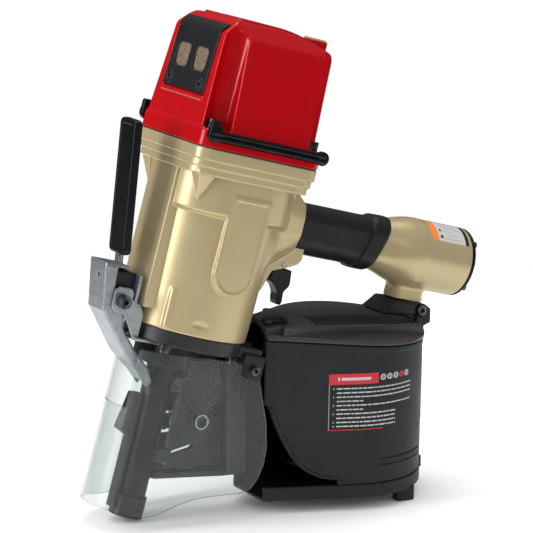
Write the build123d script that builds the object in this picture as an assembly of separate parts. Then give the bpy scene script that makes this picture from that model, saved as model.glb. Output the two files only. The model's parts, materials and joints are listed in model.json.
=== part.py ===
from build123d import *
import os
import math

os.makedirs("parts", exist_ok=True)

# Millimetres. Two frames are used. The tool frame has the drive axis on +Z, the
# workpiece end of the nose at the origin and the handle along +X. The standing
# frame is the tool frame turned by TILT about +Y, so the coil canister is upright.
TILT = 15.0
# bounding-box bottom centre of the whole tool in the standing frame
SHIFT = (-168.73, 0.0, 4.296)

# body casting
BX = 15.0            # casting centre, behind the drive axis
BARREL_R0 = 59.0     # barrel radius at its foot
BARREL_R1 = 61.5     # barrel radius under the shoulder
BODY_Z0, SHOULDER_Z, BAND_Z, BODY_Z1 = 188.0, 306.0, 341.0, 365.0
FLANGE_W, FLANGE_D, FLANGE_R, FLANGE_X = 133.5, 136.0, 16.0, 13.75
CAVITY_R = 54.0
# cap
CAP_Z0, CAP_FLANGE_Z, CAP_BEVEL_Z, CAP_Z1 = 366.0, 383.0, 471.0, 488.0
SCREW_DX, SCREW_DY = 54.5, 54.0
# cylinder and piston
BORE_R, SLEEVE_R = 33.0, 36.5
STROKE = 132.0
PISTON_Z0, PISTON_Z1 = 340.0, 350.0
DRIVER_R, DRIVER_TIP = 4.5, 134.0
# handle
HZ = 304.25          # grip centre height
GRIP_H, GRIP_W = 50.5, 40.0
DRUM_R, DRUM_Z, DRUM_X0, DRUM_X1 = 34.5, 302.5, 240.0, 298.0
INLET_R = 7.4        # 3/8 inch taper thread, tapping diameter 14.8
# nose
TUBE_R, TUBE_Z0 = 14.5, 14.0
CHANNEL = 5.0        # half width of the nail channel
CONTACT_TRAVEL = 11.0
# magazine, in the standing frame
MX, MR = 239.0, 79.0
NX, NY, NR = 130.0, -18.0, 28.0
MAG_Z0, MAG_Z1 = 22.0, 152.0
MAG_WALL = 3.0
HINGE = (319.8, -14.0)
MAG_FRONT = 126.0
SPLIT_Y = -14.0
# the lid and the rim it closes on are tipped up at the front about the rear edge
LID_TILT, LID_X = 5.0, 318.0

CT, ST = math.cos(math.radians(TILT)), math.sin(math.radians(TILT))


def to_tool(xs, zs):
    return (xs * CT - zs * ST, xs * ST + zs * CT)


def box(x0, x1, y0, y1, z0, z1):
    return Pos((x0 + x1) / 2, (y0 + y1) / 2, (z0 + z1) / 2) * Box(x1 - x0, y1 - y0, z1 - z0)


def cylz(r, z0, z1, x=0.0, y=0.0):
    return Pos(x, y, (z0 + z1) / 2) * Cylinder(r, z1 - z0)


def cylx(r, x0, x1, y, z):
    return Pos((x0 + x1) / 2, y, z) * Rot(0, 90, 0) * Cylinder(r, x1 - x0)


def cyly(r, y0, y1, x, z):
    return Pos(x, (y0 + y1) / 2, z) * Rot(90, 0, 0) * Cylinder(r, y1 - y0)


def ringz(r1, r0, z0, z1, x=0.0, y=0.0):
    return cylz(r1, z0, z1, x, y) - cylz(r0, z0 - 1, z1 + 1, x, y)


def slab(w, d, r, z0, z1, x=BX, y=0.0):
    return extrude(Pos(x, y, z0) * RectangleRounded(w, d, r), z1 - z0)


def tapered(w0, d0, r0, z0, w1, d1, r1, z1, x0=BX, x1=BX):
    return loft([Pos(x0, 0, z0) * RectangleRounded(w0, d0, r0), Pos(x1, 0, z1) * RectangleRounded(w1, d1, r1)], ruled=True)


def secx(wy, hz, r, x, z):
    return Plane(origin=(x, 0, z), x_dir=(0, 1, 0), z_dir=(1, 0, 0)) * RectangleRounded(wy, hz, r)


def prism(pts, y0, y1):
    face = make_face(Polyline(*[(x, y0, z) for x, z in pts], close=True))
    return extrude(face, amount=y1 - y0, dir=(0, 1, 0))


def prism_s(pts, y0, y1):
    return prism([to_tool(x, z) for x, z in pts], y0, y1)


def plan(pts, z0, z1):
    face = make_face(Polyline(*[(x, y, z0) for x, y in pts], close=True))
    return extrude(face, amount=z1 - z0, dir=(0, 0, 1))


def hull_face(r1, r2, z):
    # outline of the canister: two circles joined by their outer tangents
    dx, dy = NX - MX, NY
    d = math.hypot(dx, dy)
    base = math.atan2(dy, dx)
    off = math.acos((r1 - r2) / d)
    a1, a2 = base + off, base - off

    def p(cx, cy, r, a):
        return (cx + r * math.cos(a), cy + r * math.sin(a), z)

    big_mid = p(MX, 0, r1, base + math.pi)
    small_mid = p(NX, NY, r2, base)
    w = [
        ThreePointArc(p(MX, 0, r1, a1), big_mid, p(MX, 0, r1, a2)),
        Line(p(MX, 0, r1, a2), p(NX, NY, r2, a2)),
        ThreePointArc(p(NX, NY, r2, a2), small_mid, p(NX, NY, r2, a1)),
        Line(p(NX, NY, r2, a1), p(MX, 0, r1, a1)),
    ]
    return make_face(w)


def hull(r1, r2, z0, z1):
    return extrude(hull_face(r1, r2, z0), amount=z1 - z0, dir=(0, 0, 1))


def spring(r, wire, z0, z1, turns):
    path = Helix(pitch=(z1 - z0 - 2 * wire) / turns, height=z1 - z0 - 2 * wire, radius=r)
    prof = Plane(origin=path @ 0, z_dir=path % 0) * Circle(wire)
    return Pos(0, 0, z0 + wire) * sweep(prof, path=path, is_frenet=True)


tool = {}      # parts drawn in the tool frame
stand = {}     # parts drawn in the standing frame
corners = [(BX + sx * SCREW_DX, sy * SCREW_DY) for sx in (-1, 1) for sy in (-1, 1)]

# ---------------------------------------------------------------- body casting
barrel = Pos(BX, 0, (BODY_Z0 + SHOULDER_Z) / 2) * Cone(BARREL_R0, BARREL_R1, SHOULDER_Z - BODY_Z0)
body = barrel + slab(124, 124, 44, SHOULDER_Z, BAND_Z)
body += slab(130, 132, 22, BAND_Z, 347, x=13.9) + slab(131.7, 134, 19, 347, 354, x=13.8)
body += slab(FLANGE_W, FLANGE_D, FLANGE_R, 354, BODY_Z1, x=FLANGE_X)
body += box(-50, -20, -26, 26, 204, BAND_Z)
for cx, cy in corners:
    sx, sy = (1 if cx > BX else -1), (1 if cy > 0 else -1)
    body += Pos(cx - 4 * sx, cy - 4 * sy, 328) * Rot(0, 0, 45) * Cone(1.5, 11.5, 26)
for s in (-1, 1):
    y0, y1 = (-62.8, -45) if s < 0 else (45, 62.8)
    pad = box(-5, 39, y0, y1, 252, 327) + cyly(22, y0, y1, 17, 252)
    body += pad
body += cylz(3.4, 190, 227, -28.5, -38.0)
# neck, handle core and reservoir drum
body += loft([secx(74, 100, 32, 56, 296), secx(39, 49.5, 16.5, 103.7, HZ)], ruled=True)
body += extrude(secx(32, 42, 14, 60, HZ), amount=190, dir=(1, 0, 0))
flare = loft([secx(36, 47, 16, 186, HZ - 0.5), secx(2 * DRUM_R, 2 * DRUM_R, DRUM_R - 0.1, DRUM_X0, DRUM_Z)], ruled=True)
slant_far = prism([(150, 250), (190.6, 250), (190.6, 276), (207.6, 334), (207.6, 360), (150, 360)], -50, 50)
body += flare - slant_far
body += cylx(DRUM_R, DRUM_X0, DRUM_X1, 0, DRUM_Z)
body += slab(36, 26, 8, 256, 290, x=249)
body += box(253, 269, -8, 8, 242, 258)
# trigger web
body += prism([(72, 232), (79, 240), (85.4, 259), (98, 263.5), (111.5, 269.3), (115.5, 274), (115.5, 290), (72, 300)], -15, 15)
# hollows
body -= cylz(CAVITY_R, 196, SHOULDER_Z + 1, BX, 0)
body -= slab(112, 112, 42, SHOULDER_Z, BODY_Z1 + 1)
body += cylz(CAVITY_R + 1, 246, 254, BX, 0)
body -= cylz(38.8, 240, 260, 0, 0)
body -= cylz(12, 180, 200, 0, 0)
body -= cylx(12, 40, 220, 0, HZ)
body -= cylx(26, 214, DRUM_X1 + 1, 0, DRUM_Z)
for cx, cy in corners:
    body -= cylz(3.5, 346, 370, cx, cy)
flange_screws_at = [(BX + 38, 38), (BX + 38, -38), (BX - 38, 38), (BX - 38, -38)]
for cx, cy in flange_screws_at:
    body -= cylz(3.5, 186, 195, cx, cy)
body -= box(83, 120, -7.8, 7.8, 222, 273.6)
body -= cylz(6.6, 270, 296, 106, 0)
TRIG = (96.0, 268.0)
body -= cyly(2.05, -20, 20, *TRIG)
body -= cyly(3.1, -20, 20, 262, 250)
for k in range(4):
    a = math.radians(45 + 90 * k)
    body -= cylx(2.05, 284, DRUM_X1 + 1, 30.3 * math.cos(a), DRUM_Z + 30.3 * math.sin(a))
tool["body_casting"] = body

# grip
grip = extrude(secx(GRIP_W, GRIP_H, 17, 104.0, HZ), amount=110, dir=(1, 0, 0))
grip += loft([secx(GRIP_W, GRIP_H, 17, 178, HZ), secx(45, 56, 19.5, 190, HZ)], ruled=True)
grip += extrude(secx(45, 56, 19.5, 190, HZ), amount=24, dir=(1, 0, 0))
grip -= extrude(secx(32.4, 42.4, 14.2, 90, HZ), amount=140, dir=(1, 0, 0))
grip -= box(100, 115.9, -15.4, 15.4, 268, 294)
grip -= prism([(260, 250), (190.3, 250), (190.3, 276), (207.3, 334), (207.3, 360), (260, 360)], -50, 50)
tool["grip_sleeve"] = grip

# reservoir end cap with the air inlet
cap = cylx(34.2, DRUM_X1 + 0.6, DRUM_X1 + 4, 0, DRUM_Z) + cylx(25.8, 289, DRUM_X1 + 1, 0, DRUM_Z)
cap += Pos(DRUM_X1 + 5.5, 0, DRUM_Z) * Rot(0, 90, 0) * Cone(33.0, 27.0, 3)
cap += cylx(13.0, DRUM_X1 + 4, DRUM_X1 + 9.5, 0, DRUM_Z)
cap -= cylx(INLET_R, 280, DRUM_X1 + 12, 0, DRUM_Z)
cap -= cylx(25.9, 291.9, 294.6, 0, DRUM_Z) - cylx(23.8, 280, 300, 0, DRUM_Z)
seal = cylx(25.85, 292.2, 294.3, 0, DRUM_Z) - cylx(23.9, 280, 300, 0, DRUM_Z)
ecs = None
for k in range(4):
    a = math.radians(45 + 90 * k)
    yy, zz = 30.3 * math.cos(a), DRUM_Z + 30.3 * math.sin(a)
    cap -= cylx(2.2, 280, 310, yy, zz) + cylx(4.2, DRUM_X1 + 3.4, 310, yy, zz)
    s = cylx(2.0, 286, DRUM_X1 + 4, yy, zz) + cylx(3.6, DRUM_X1 + 3.5, DRUM_X1 + 6.6, yy, zz) - cylx(1.7, DRUM_X1 + 4.6, 310, yy, zz)
    ecs = s if ecs is None else ecs + s
tool["end_cap"] = cap
tool["end_cap_seal"] = seal
end_screws = ecs

# ---------------------------------------------------------------- head cap
head = slab(FLANGE_W, FLANGE_D, FLANGE_R, CAP_Z0, CAP_FLANGE_Z, x=FLANGE_X)
block = tapered(130, 129, 13, CAP_FLANGE_Z, 122, 116, 13, CAP_BEVEL_Z, x0=13.0, x1=13.5)
block += tapered(122, 116, 13, CAP_BEVEL_Z, 100, 84, 8, CAP_Z1 - 3, x0=13.5, x1=15.5)
block += tapered(96, 78, 7, CAP_Z1 - 3, 90, 68, 6, CAP_Z1, x0=16.5, x1=16.5)
block -= prism([(29, 488.2), (70, 478), (90, 473), (90, 500), (29, 500)], -80, 80)
for cx, cy in corners:
    sy = 1 if cy > 0 else -1
    gx, gy, gr = (72.5, 57.5, 11.5) if cx > BX else (-38.0, 60.0, 13.2)
    block -= cylz(gr, CAP_FLANGE_Z, CAP_Z1 + 1, gx, gy * sy)
head += block
head += box(60, 77, -26, -6, CAP_BEVEL_Z - 6, CAP_Z1 - 1.5)
# inside of the cap
head -= slab(104, 100, 34, CAP_Z0 - 1, 404)
head -= cylz(41.0, CAP_Z0 - 1, 371.5)
head -= slab(96, 92, 30, 403, 464)
head += cylz(22, 404, 472, 0, 0)
head += ringz(22, 16.06, 382, 405, 0, 0)
head -= cylz(16.06, 381, 432, 0, 0)
head += box(-40, 72, -3, 3, 430, 470) - cylz(21, 381, 460, 0, 0)
# exhaust recess in the front face
head -= box(-60, -43.4, -40.4, 40.4, 410.6, 480.6)
head -= box(-60, -38.6, -40.4, 40.4, 475, 480.6)
head -= box(-50, -30, -28, 28, 426, 459)
for cx, cy in corners:
    head -= cylz(4.3, CAP_Z0 - 1, CAP_FLANGE_Z + 1, cx, cy)
for sy in (-29.5, 29.5):
    head -= cylx(1.9, -60, -36, sy, 419)
# side strip grooves
for s in (-1, 1):
    g0, g1 = (-72, -64.8) if s < 0 else (64.8, 72)
    head -= box(-42, 86, g0, g1, 372.5, CAP_FLANGE_Z + 1)
tool["head_cap"] = head

gasket = slab(132, 134.5, 15.5, BODY_Z1 + 0.05, CAP_Z0 - 0.05, x=FLANGE_X) - slab(113, 113, 42, 360, 370)
for cx, cy in corners:
    gasket -= cylz(4.4, 360, 370, cx, cy)
tool["cap_gasket"] = gasket

screws = None
for cx, cy in corners:
    s = cylz(3.4, 348, CAP_FLANGE_Z + 1, cx, cy) + cylz(6.4, CAP_FLANGE_Z + 0.1, CAP_FLANGE_Z + 8.5, cx, cy)
    s -= extrude(Pos(cx, cy, CAP_FLANGE_Z + 4) * RegularPolygon(3.2, 6), 10)
    screws = s if screws is None else screws + s
tool["cap_screws"] = screws

# exhaust cover, its filter and screws
cover = prism([(-51.6, 411), (-43.7, 411), (-43.7, 475.3), (-39.0, 475.3), (-39.0, 480.2), (-41.5, 480.2), (-46.2, 475.5), (-48.2, 471.5)], -40, 40)
cover -= box(-47.4, -40, -31, 31, 425, 459.5)
for y0 in (-17.5, 17.5):
    w = extrude(Plane(origin=(-60, y0, 442), x_dir=(0, 1, 0), z_dir=(1, 0, 0)) * RectangleRounded(24, 22.5, 5), amount=30)
    cover -= w
for sy in (-29.5, 29.5):
    cover -= cylx(2.1, -60, -30, sy, 419) + cylx(4.6, -60, -47.6, sy, 419)
tool["exhaust_cover"] = cover
tool["exhaust_filter"] = box(-47.2, -44.0, -30.6, 30.6, 425.4, 459.1)
ecs = None
for sy in (-29.5, 29.5):
    s = cylx(1.8, -48, -37, sy, 419) + cylx(4.2, -51.8, -47.65, sy, 419)
    s -= extrude(Plane(origin=(-52.6, sy, 419), x_dir=(0, 1, 0), z_dir=(1, 0, 0)) * RegularPolygon(2.2, 6), amount=3.0)
    ecs = s if ecs is None else ecs + s
tool["cover_screws"] = ecs + end_screws

# rubber side strips with an upturned front end and a round rear end
for s, name in ((-1, "side_strip_left"), (1, "side_strip_right")):
    yi, yo = 65.0, 71.0
    a, b = (-yo, -yi) if s < 0 else (yi, yo)
    c, d = (a - 0.9, b) if s < 0 else (a, b + 0.9)
    strip = box(-44.5, 75, a, b, 373, 383)
    for zz in (375.4, 380.6):
        strip += cylx(2.3, -44.5, 75, s * (yo - 0.2), zz)
    strip += cyly(6.8, c, d, -44.5, 378)
    strip += box(-51, -38, c, d, 378, 391)
    strip += cyly(6.8, c, d, 75, 378)
    strip -= box(-60, 100, -64.9, 64.9, 360, 400)
    strip -= slab(FLANGE_W + 0.3, FLANGE_D + 0.3, FLANGE_R, 360, CAP_FLANGE_Z + 0.1, x=FLANGE_X) - (box(-41.8, 86, -72, -64.9, 372.7, 390) + box(-41.8, 86, 64.9, 72, 372.7, 390))
    tool[name] = strip

# ---------------------------------------------------------------- engine
tool["cylinder_sleeve"] = ringz(SLEEVE_R, BORE_R, 196.1, 352.5) - cylx(2, -40, 40, 0, 330) - cyly(2, -40, 40, 0, 216)
tool["sleeve_seal"] = ringz(38.7, SLEEVE_R + 0.05, 248, 252)
tool["piston_bumper"] = cylz(32.2, 196.2, 207.6) - cylz(6.5, 190, 210) - (cylz(33, 201, 203) - cylz(30.5, 200, 204))
piston = cylz(BORE_R - 0.3, PISTON_Z0, PISTON_Z1) - (cylz(34, 343.6, 346.6) - cylz(30.4, 343, 347)) - cylz(DRIVER_R, 330, 344)
tool["piston"] = piston - cylz(20, 346, 351)
tool["piston_ring"] = ringz(BORE_R - 0.06, 30.5, 343.8, 346.4)
tool["driver_blade"] = cylz(DRIVER_R, DRIVER_TIP, 344)
valve = cylz(39.5, 353, 361) - cylz(34.5, 352, 354.2) + cylz(16, 361, 398) - cylz(9, 366, 400)
tool["head_valve"] = valve
tool["head_valve_spring"] = Pos(0, 0, 0) * spring(6.4, 0.9, 366.3, 431.5, 9)

# ---------------------------------------------------------------- trigger group
tx, tz = TRIG
trig = prism([(92, 268), (93, 272), (99, 272), (112, 262.2), (113.6, 250), (113.2, 246.5), (108.5, 240), (109.5, 231), (108.5, 227.5),
              (105, 227), (103.2, 230), (102, 238), (98, 244), (92.5, 248), (91, 254)], -7, 7)
trig = trig - box(88, 120, -8, 8, 262.3, 275) + cyly(4.2, -7, 7, tx, tz)
trig += box(92.5, 99.5, -7, 7, 258, 267)
trig -= cyly(2.06, -10, 10, tx, tz)
trig -= box(80, 104, -4.4, 4.4, 252, 280)
tool["trigger"] = trig
tool["trigger_pin"] = cyly(2.0, -15.4, 15.4, tx, tz)
tool["trigger_valve_body"] = cylz(6.5, 273.9, 294, 106, 0) - cylz(2.06, 270, 300, 106, 0) - cylz(4.6, 278, 290, 106, 0)
tool["trigger_valve_stem"] = cylz(2.0, 262.7, 290.4, 106, 0) + cylz(4.2, 279, 281, 106, 0)
tool["trigger_spring"] = Pos(106, 0, 0) * spring(3.3, 0.45, 281.1, 289.9, 4)

# ---------------------------------------------------------------- nose
flange = cylz(BARREL_R0 - 0.5, 174, 187.9, BX, 0) + box(40, 79, -24, 24, 174, 187.9)
for s in (-1, 1):
    flange += box(50, 75, min(s * 30, s * 51), max(s * 30, s * 51), 176, 186)
flange -= cylz(6.6, 170, 190)
for cx, cy in flange_screws_at:
    flange -= cylz(3.7, 170, 190, cx, cy)
LINK = (75.6, 19.5)
flange -= cylz(2.7, 170, 190, *LINK)
nose_screws_at = [(-14, 16), (-14, -16), (50, 10)]
for cx, cy in nose_screws_at:
    flange -= cylz(2.5, 170, 184, cx, cy)
fsc = None
for cx, cy in flange_screws_at:
    s = cylz(3.4, 173.8, 194, cx, cy) + cylz(6.2, 166, 173.8, cx, cy)
    s -= extrude(Pos(cx, cy, 165) * RegularPolygon(3.0, 6), 5)
    fsc = s if fsc is None else fsc + s
tool["nose_flange"] = flange
tool["flange_screws"] = fsc

nose = cylz(TUBE_R, TUBE_Z0, 152)
nose += box(-23, 14, -22, 22, 150, 173.9) + box(14, 60, -4.8, 22, 150, 173.9)
nose += prism_s([(20, 40), (68, 35), (103.5, 32), (103.5, 148), (45, 156)], CHANNEL, 11)
nose += prism_s([(24, 35), (103.5, 28), (103.5, 34), (24, 41)], -11, 11)
HX, HY = 19.5, -15.5
for z0, z1 in ((58, 72), (128, 142)):
    nose += box(6, HX, -18.5, -11, z0, z1) + cylz(3.8, z0, z1, HX, HY)
nose -= cylz(5.2, 0, 180)
nose -= box(0, 40, -CHANNEL, CHANNEL, 44, 148)
nose -= prism_s([(20, 41), (103.6, 34), (103.6, 146), (45, 150)], -CHANNEL, CHANNEL)
nose -= box(15.2, 80, -30, -4.9, 40.5, 57.9) - prism_s([(24, 35), (103.5, 28), (103.5, 34), (24, 41)], -11, 11)
nose -= prism_s([(32, 74), (66, 74), (66, 96), (32, 96)], 4, 12)
nose -= prism_s([(46, 50), (84, 50), (84, 66), (46, 66)], 4, 12)
for cx, cy in nose_screws_at:
    nose -= cylz(2.7, 140, 180, cx, cy) + cylz(5.0, 140, 156, cx, cy)
nose -= box(-5, 82, 15.2, 30, 145, 148 + CONTACT_TRAVEL + 1)
for xs, zs in ((97, 66), (97, 114)):
    xg, zg = to_tool(xs, zs)
    nose -= cyly(2.1, 4, 12, xg, zg)
nose -= cylz(1.7, 50, 150, HX, HY)
tool["nose_body"] = nose
nsc = None
for cx, cy in nose_screws_at:
    s = cylz(2.4, 155, 183, cx, cy) + cylz(4.6, 150.6, 155.95, cx, cy) - extrude(Pos(cx, cy, 150) * RegularPolygon(2.2, 6), 3.5)
    nsc = s if nsc is None else nsc + s
tool["nose_screws"] = nsc

# feed door, its hinge pin and its latch
door = prism([(22.5, 52), (56, 56), (61, 78), (54.5, 112), (69, 134), (59, 152), (55, 163.5), (22.5, 160)], -11, -5.4)
door -= box(10, 26, -12, -4, 127.7, 142.4) - box(22.5, 26, -12, -4, 127.7, 142.4)
door += box(HX, 27, -19.2, -10.8, 76, 124) + cylz(3.8, 72.4, 127.6, HX, HY)
door -= cylz(1.7, 50, 150, HX, HY)
slot = prism([(22, 63.6), (47, 75.6), (48.5, 80.6), (23.5, 68.4)], -20, 0)
door -= slot
LX, LZ = 49.0, 103.0
door -= cyly(3.06, -20, 0, LX, LZ)
tool["feed_door"] = door
tool["feed_door_pin"] = cylz(1.6, 57, 143, HX, HY)
latch = cyly(7.0, -15.6, -11.4, LX, LZ) - cyly(4.4, -17, -13.4, LX, LZ) + cyly(3.0, -12, -5.6, LX, LZ)
latch += prism([(LX, 99.6), (LX + 13, 101), (LX + 14.5, 103), (LX + 13, 105), (LX, 106.4)], -13.4, -11.4)
tool["door_latch"] = latch

# contact arm and its link up to the trigger
arm = ringz(16.6, 14.9, 0, 21) + ringz(16.6, 8.5, 0, 2.6)
arm += box(-19.6, -15.6, -7, 7, 6, 119) + prism([(-33, 82), (-18, 75), (-18, 119), (-26.5, 119)], -5, 5)
arm -= cylz(14.9, 2.6, 130)
far = box(-4, 4, 15.4, 20.6, 6, 148) + box(-4, 80, 15.4, 22.6, 140, 148)
arm += far - cylz(14.9, 2.6, 130) - box(-30, 60, 0, 15.2, 22, 160)
arm -= cylz(2.35, 138, 150, *LINK)
tool["contact_arm"] = arm
link = cylz(2.3, 140, 247, *LINK) + box(75.6, 90.4, 15.8, 21.8, 243, 247) + box(86.2, 90.4, 8.6, 21.8, 243, 247)
tool["contact_link"] = link
tool["contact_spring"] = Pos(LINK[0], LINK[1], 0) * spring(4.0, 0.7, 148.2, 173.6, 5)

# feed cylinder on the far side, its piston and pawl (drawn in the standing frame)
FZ, FY = 85.0, 26.0
fcyl = cylx(13.0, 66, 116, FY, FZ) - cylx(10.0, 69, 113, FY, FZ) - cylx(3.05, 60, 70, FY, FZ)
fcyl += box(70, 102, 11.05, 16, FZ - 12, FZ + 12) - cylx(12.5, 60, 120, FY, FZ)
fcyl = fcyl - cyly(1.6, 8, 18, 74, FZ + 8) - cyly(1.6, 8, 18, 74, FZ - 8)
stand["feed_cylinder"] = fcyl
fp = cylx(9.9, 82, 88, FY, FZ) + cylx(3.0, 49.8, 84, FY, FZ)
stand["feed_piston"] = fp
pawl = box(41, 49.8, 4.0, 31, FZ - 6, FZ + 6) - box(30, 45.2, 0, 8.4, FZ - 1.6, FZ + 1.6)
pawl += box(41, 44, 1.5, 6, FZ - 6, FZ - 3) + box(41, 44, 1.5, 6, FZ + 3, FZ + 6)
stand["feed_pawl"] = pawl
stand["feed_spring"] = Pos(0, FY, FZ) * Rot(0, 90, 0) * spring(6.5, 0.9, 88.2, 112.8, 5)

# shield, clamps and screws
SO, SI = 46.0, 44.0


def u_face(r, ye, xe, z):
    w = [Line((xe, -ye, z), (0, -r, z)), ThreePointArc((0, -r, z), (-r, 0, z), (0, r, z)), Line((0, r, z), (xe, ye, z)), Line((xe, ye, z), (xe, -ye, z))]
    return make_face(w)


sh = extrude(u_face(SO, 58.0, 104.0, 4), amount=168, dir=(0, 0, 1)) - extrude(u_face(SI, 56.0, 105.0, 3), amount=170, dir=(0, 0, 1))
keep = prism([(-60, 8), (-20, 7.2), (-6, 8.5), (6, 12.5), (16, 19), (26, 26), (38, 32.5), (52, 38), (70, 43), (86, 47), (95, 53), (100, 64), (102.5, 80), (101, 96),
              (94, 120), (84, 142), (76, 160), (72, 171.5), (10, 168.5), (-60, 161)], -80, 80)
sh = sh & keep
sh -= box(-60, -20, -22, 22, 106, 180)
for s in (-1, 1):
    sh -= cyly(2.6, s * 40 if s > 0 else -70, 70 if s > 0 else -40, 66, 167)
tool["shield"] = sh
clamps = None
shs = None
for s in (-1, 1):
    def yb(a, b):
        return (min(s * a, s * b), max(s * a, s * b))
    inner = box(60.5, 75, *yb(43, 50.3), 160, 175.9) - cyly(2.1, *yb(36, 56), 66, 167)
    outer = box(57, 75.5, *yb(54.9, 58.4), 158, 177) - cyly(2.1, *yb(40, 60), 66, 167)
    outer += box(53, 75.5, *yb(51.2, 58.4), 177, 181) + box(53, 57, *yb(55.2, 58.4), 171, 181)
    clamps = inner + outer if clamps is None else clamps + inner + outer
    sc = cyly(2.0, *yb(44, 60), 66, 167) + cyly(4.6, *yb(58.5, 62.5), 66, 167)
    sc -= extrude(Plane(origin=(66, s * 60, 167), x_dir=(1, 0, 0), z_dir=(0, s, 0)) * RegularPolygon(2.2, 6), amount=5)
    shs = sc if shs is None else shs + sc
tool["shield_clamps"] = clamps
tool["shield_screws"] = shs

# ---------------------------------------------------------------- front lever
PX, PZ = -70.0, 205.0
bracket = box(-50, -4, -26, -10, 170.8, 173.8) + box(-50, -4, 10, 26, 170.8, 173.8)
for s in (-1, 1):
    y0, y1 = (18.3, 21.0) if s > 0 else (-21.0, -18.3)
    ear = prism([(-80, 198), (-80, 214), (-76, 218), (-63, 218), (-60, 214), (-60, 208), (-49.5, 204), (-44.6, 196), (-44.6, 188.2), (-44.6, 170.8), (-50, 170.8), (-60, 186), (-66, 193), (-76, 194)], y0, y1)
    ear -= cylz(BARREL_R0 - 0.2, 173.9, 188.1, BX, 0)
    ear -= Pos(BX, 0, 203) * Cone(59.6, 60.3, 32)
    ear -= box(-50.4, -20, -27, 27, 203.6, 260)
    bracket += ear
back = box(-58, -54.5, -21, 21, 206, 232)
bracket += back
bracket -= cyly(4.1, -30, 30, PX, PZ)
for cx, cy in nose_screws_at:
    bracket -= cylz(6, 160, 180, cx, cy)
bracket -= box(-23.2, 20, -22.2, 22.2, 160, 180)
bracket -= cylz(6.6, 160, 180, -23, 38) + cylz(6.6, 160, 180, -23, -38)
tool["lever_bracket"] = bracket
housing = box(-84, -58.2, -13.6, 13.6, 214.5, 232) - cylx(7.6, -90, -61, 0, 223.2) - box(-90, -63, -11, 11, 224, 240)
tool["spring_housing"] = housing

T = 2.6
W = 17.4
front = [(-94, 235), (-85.5, 192), (-51, 153), (-29, 137.5)]
inner = [(-29 + 1.5, 137.5 + 2.2), (-49.4, 155.1), (-83.1, 193.3), (-91.3, 234.4)]
lever = prism(front + inner, -W, W)
side = prism([(-94, 235), (-85.5, 192), (-51, 153), (-29, 137.5), (-17.5, 126.5), (-12.5, 133), (-22, 145), (-44, 163), (-60, 180), (-62, 196), (-62, 212), (-78, 214.3), (-80, 235)], -W, W) - prism(
    [(-120, 250), (-120, 100), (0, 100), (0, 250)], -W + T, W - T)
lever += side
lever += box(-93.8, -66, -W, W, 235, 237.6)
lever += prism([(-29, 137.5), (-27.5, 139.7), (-26.9, 131.9), (-28.4, 131.0)], -8, 8)
lever = lever + prism([(-30, 137.7), (-26.0, 133.2), (-24.5, 136.0), (-28, 140.1)], -8, 8)
# tang that carries the grip bar
LEAN = 9.5
tang = Pos(-72.4, 0, 236.4) * Rot(0, -LEAN, 0) * Pos(0, 0, 20) * Box(2.6, 14, 44)
tang -= box(-120, 0, -40, 40, 200, 235.0)
lever += tang
lever -= cyly(4.1, -30, 30, PX, PZ)
tool["front_lever"] = lever
gripbar = Pos(-72.4, 0, 236.4) * Rot(0, -LEAN, 0) * Pos(0, 0, 74.5) * extrude(Plane(origin=(-4.4, 0, 0), x_dir=(0, 1, 0), z_dir=(1, 0, 0)) * RectangleRounded(32, 128, 5), amount=8.8)
pocket = Pos(-72.4, 0, 236.4) * Rot(0, -LEAN, 0) * Pos(0, 0, 20) * Box(2.8, 14.2, 44.4)
tool["lever_grip"] = gripbar - pocket
bolt = cyly(4.0, -22.5, 22.5, PX, PZ) + cyly(6.6, -27.6, -21.3, PX, PZ) + cyly(7.0, 21.3, 26.5, PX, PZ)
bolt -= extrude(Plane(origin=(PX, -25, PZ), x_dir=(1, 0, 0), z_dir=(0, -1, 0)) * RegularPolygon(3.2, 6), amount=5)
tool["lever_bolt"] = bolt
tool["lever_spring"] = Pos(0, 0, 223.2) * Rot(0, 90, 0) * spring(6.0, 0.9, -86.4, -61.3, 6)

# ---------------------------------------------------------------- magazine (standing frame)
cut_front = box(60, MAG_FRONT, -90, 90, -10, 220)


def top(shape):
    return Pos(LID_X, 0, MAG_Z1) * Rot(0, LID_TILT, 0) * Pos(-LID_X, 0, -MAG_Z1) * shape


base = hull(79.5, 28.5, 8, 11) + (hull(79.5, 28.5, 11, MAG_Z0) - hull(76.6, 25.6, 10, MAG_Z0 + 1))
base -= cut_front
for s in (-1, 1):
    lug = slab(20, 13, 4, -4.296, 9, x=276, y=s * 62)
    base += lug
base += box(312, 330, -9, 9, 8, 11) + box(318.6, 330, -9, 9, 11, MAG_Z0 - 2)
base += cylz(14, 10, 16, MX, 0)
base -= cylz(4.1, 0, 30, MX, 0)
stand["magazine_base"] = base
post = cylz(7.94, 16.1, 96, MX, 0) - cylz(3.3, 10, 40, MX, 0)
stand["magazine_post"] = post
post_screw = cylz(3.2, 7.5, 36, MX, 0) + cylz(7.0, 3.6, 7.9, MX, 0) - extrude(Pos(MX, 0, 3.0) * RegularPolygon(2.6, 6), 3)
plat = cylz(62, 30, 33, MX, 0) + cylz(13, 22, 33, MX, 0) - cylz(8.0, 20, 40, MX, 0)
for k in range(6):
    a = math.radians(60 * k + 30)
    plat -= cylz(11, 29, 34, MX + 40 * math.cos(a), 40 * math.sin(a))
stand["nail_platform"] = plat

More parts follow.
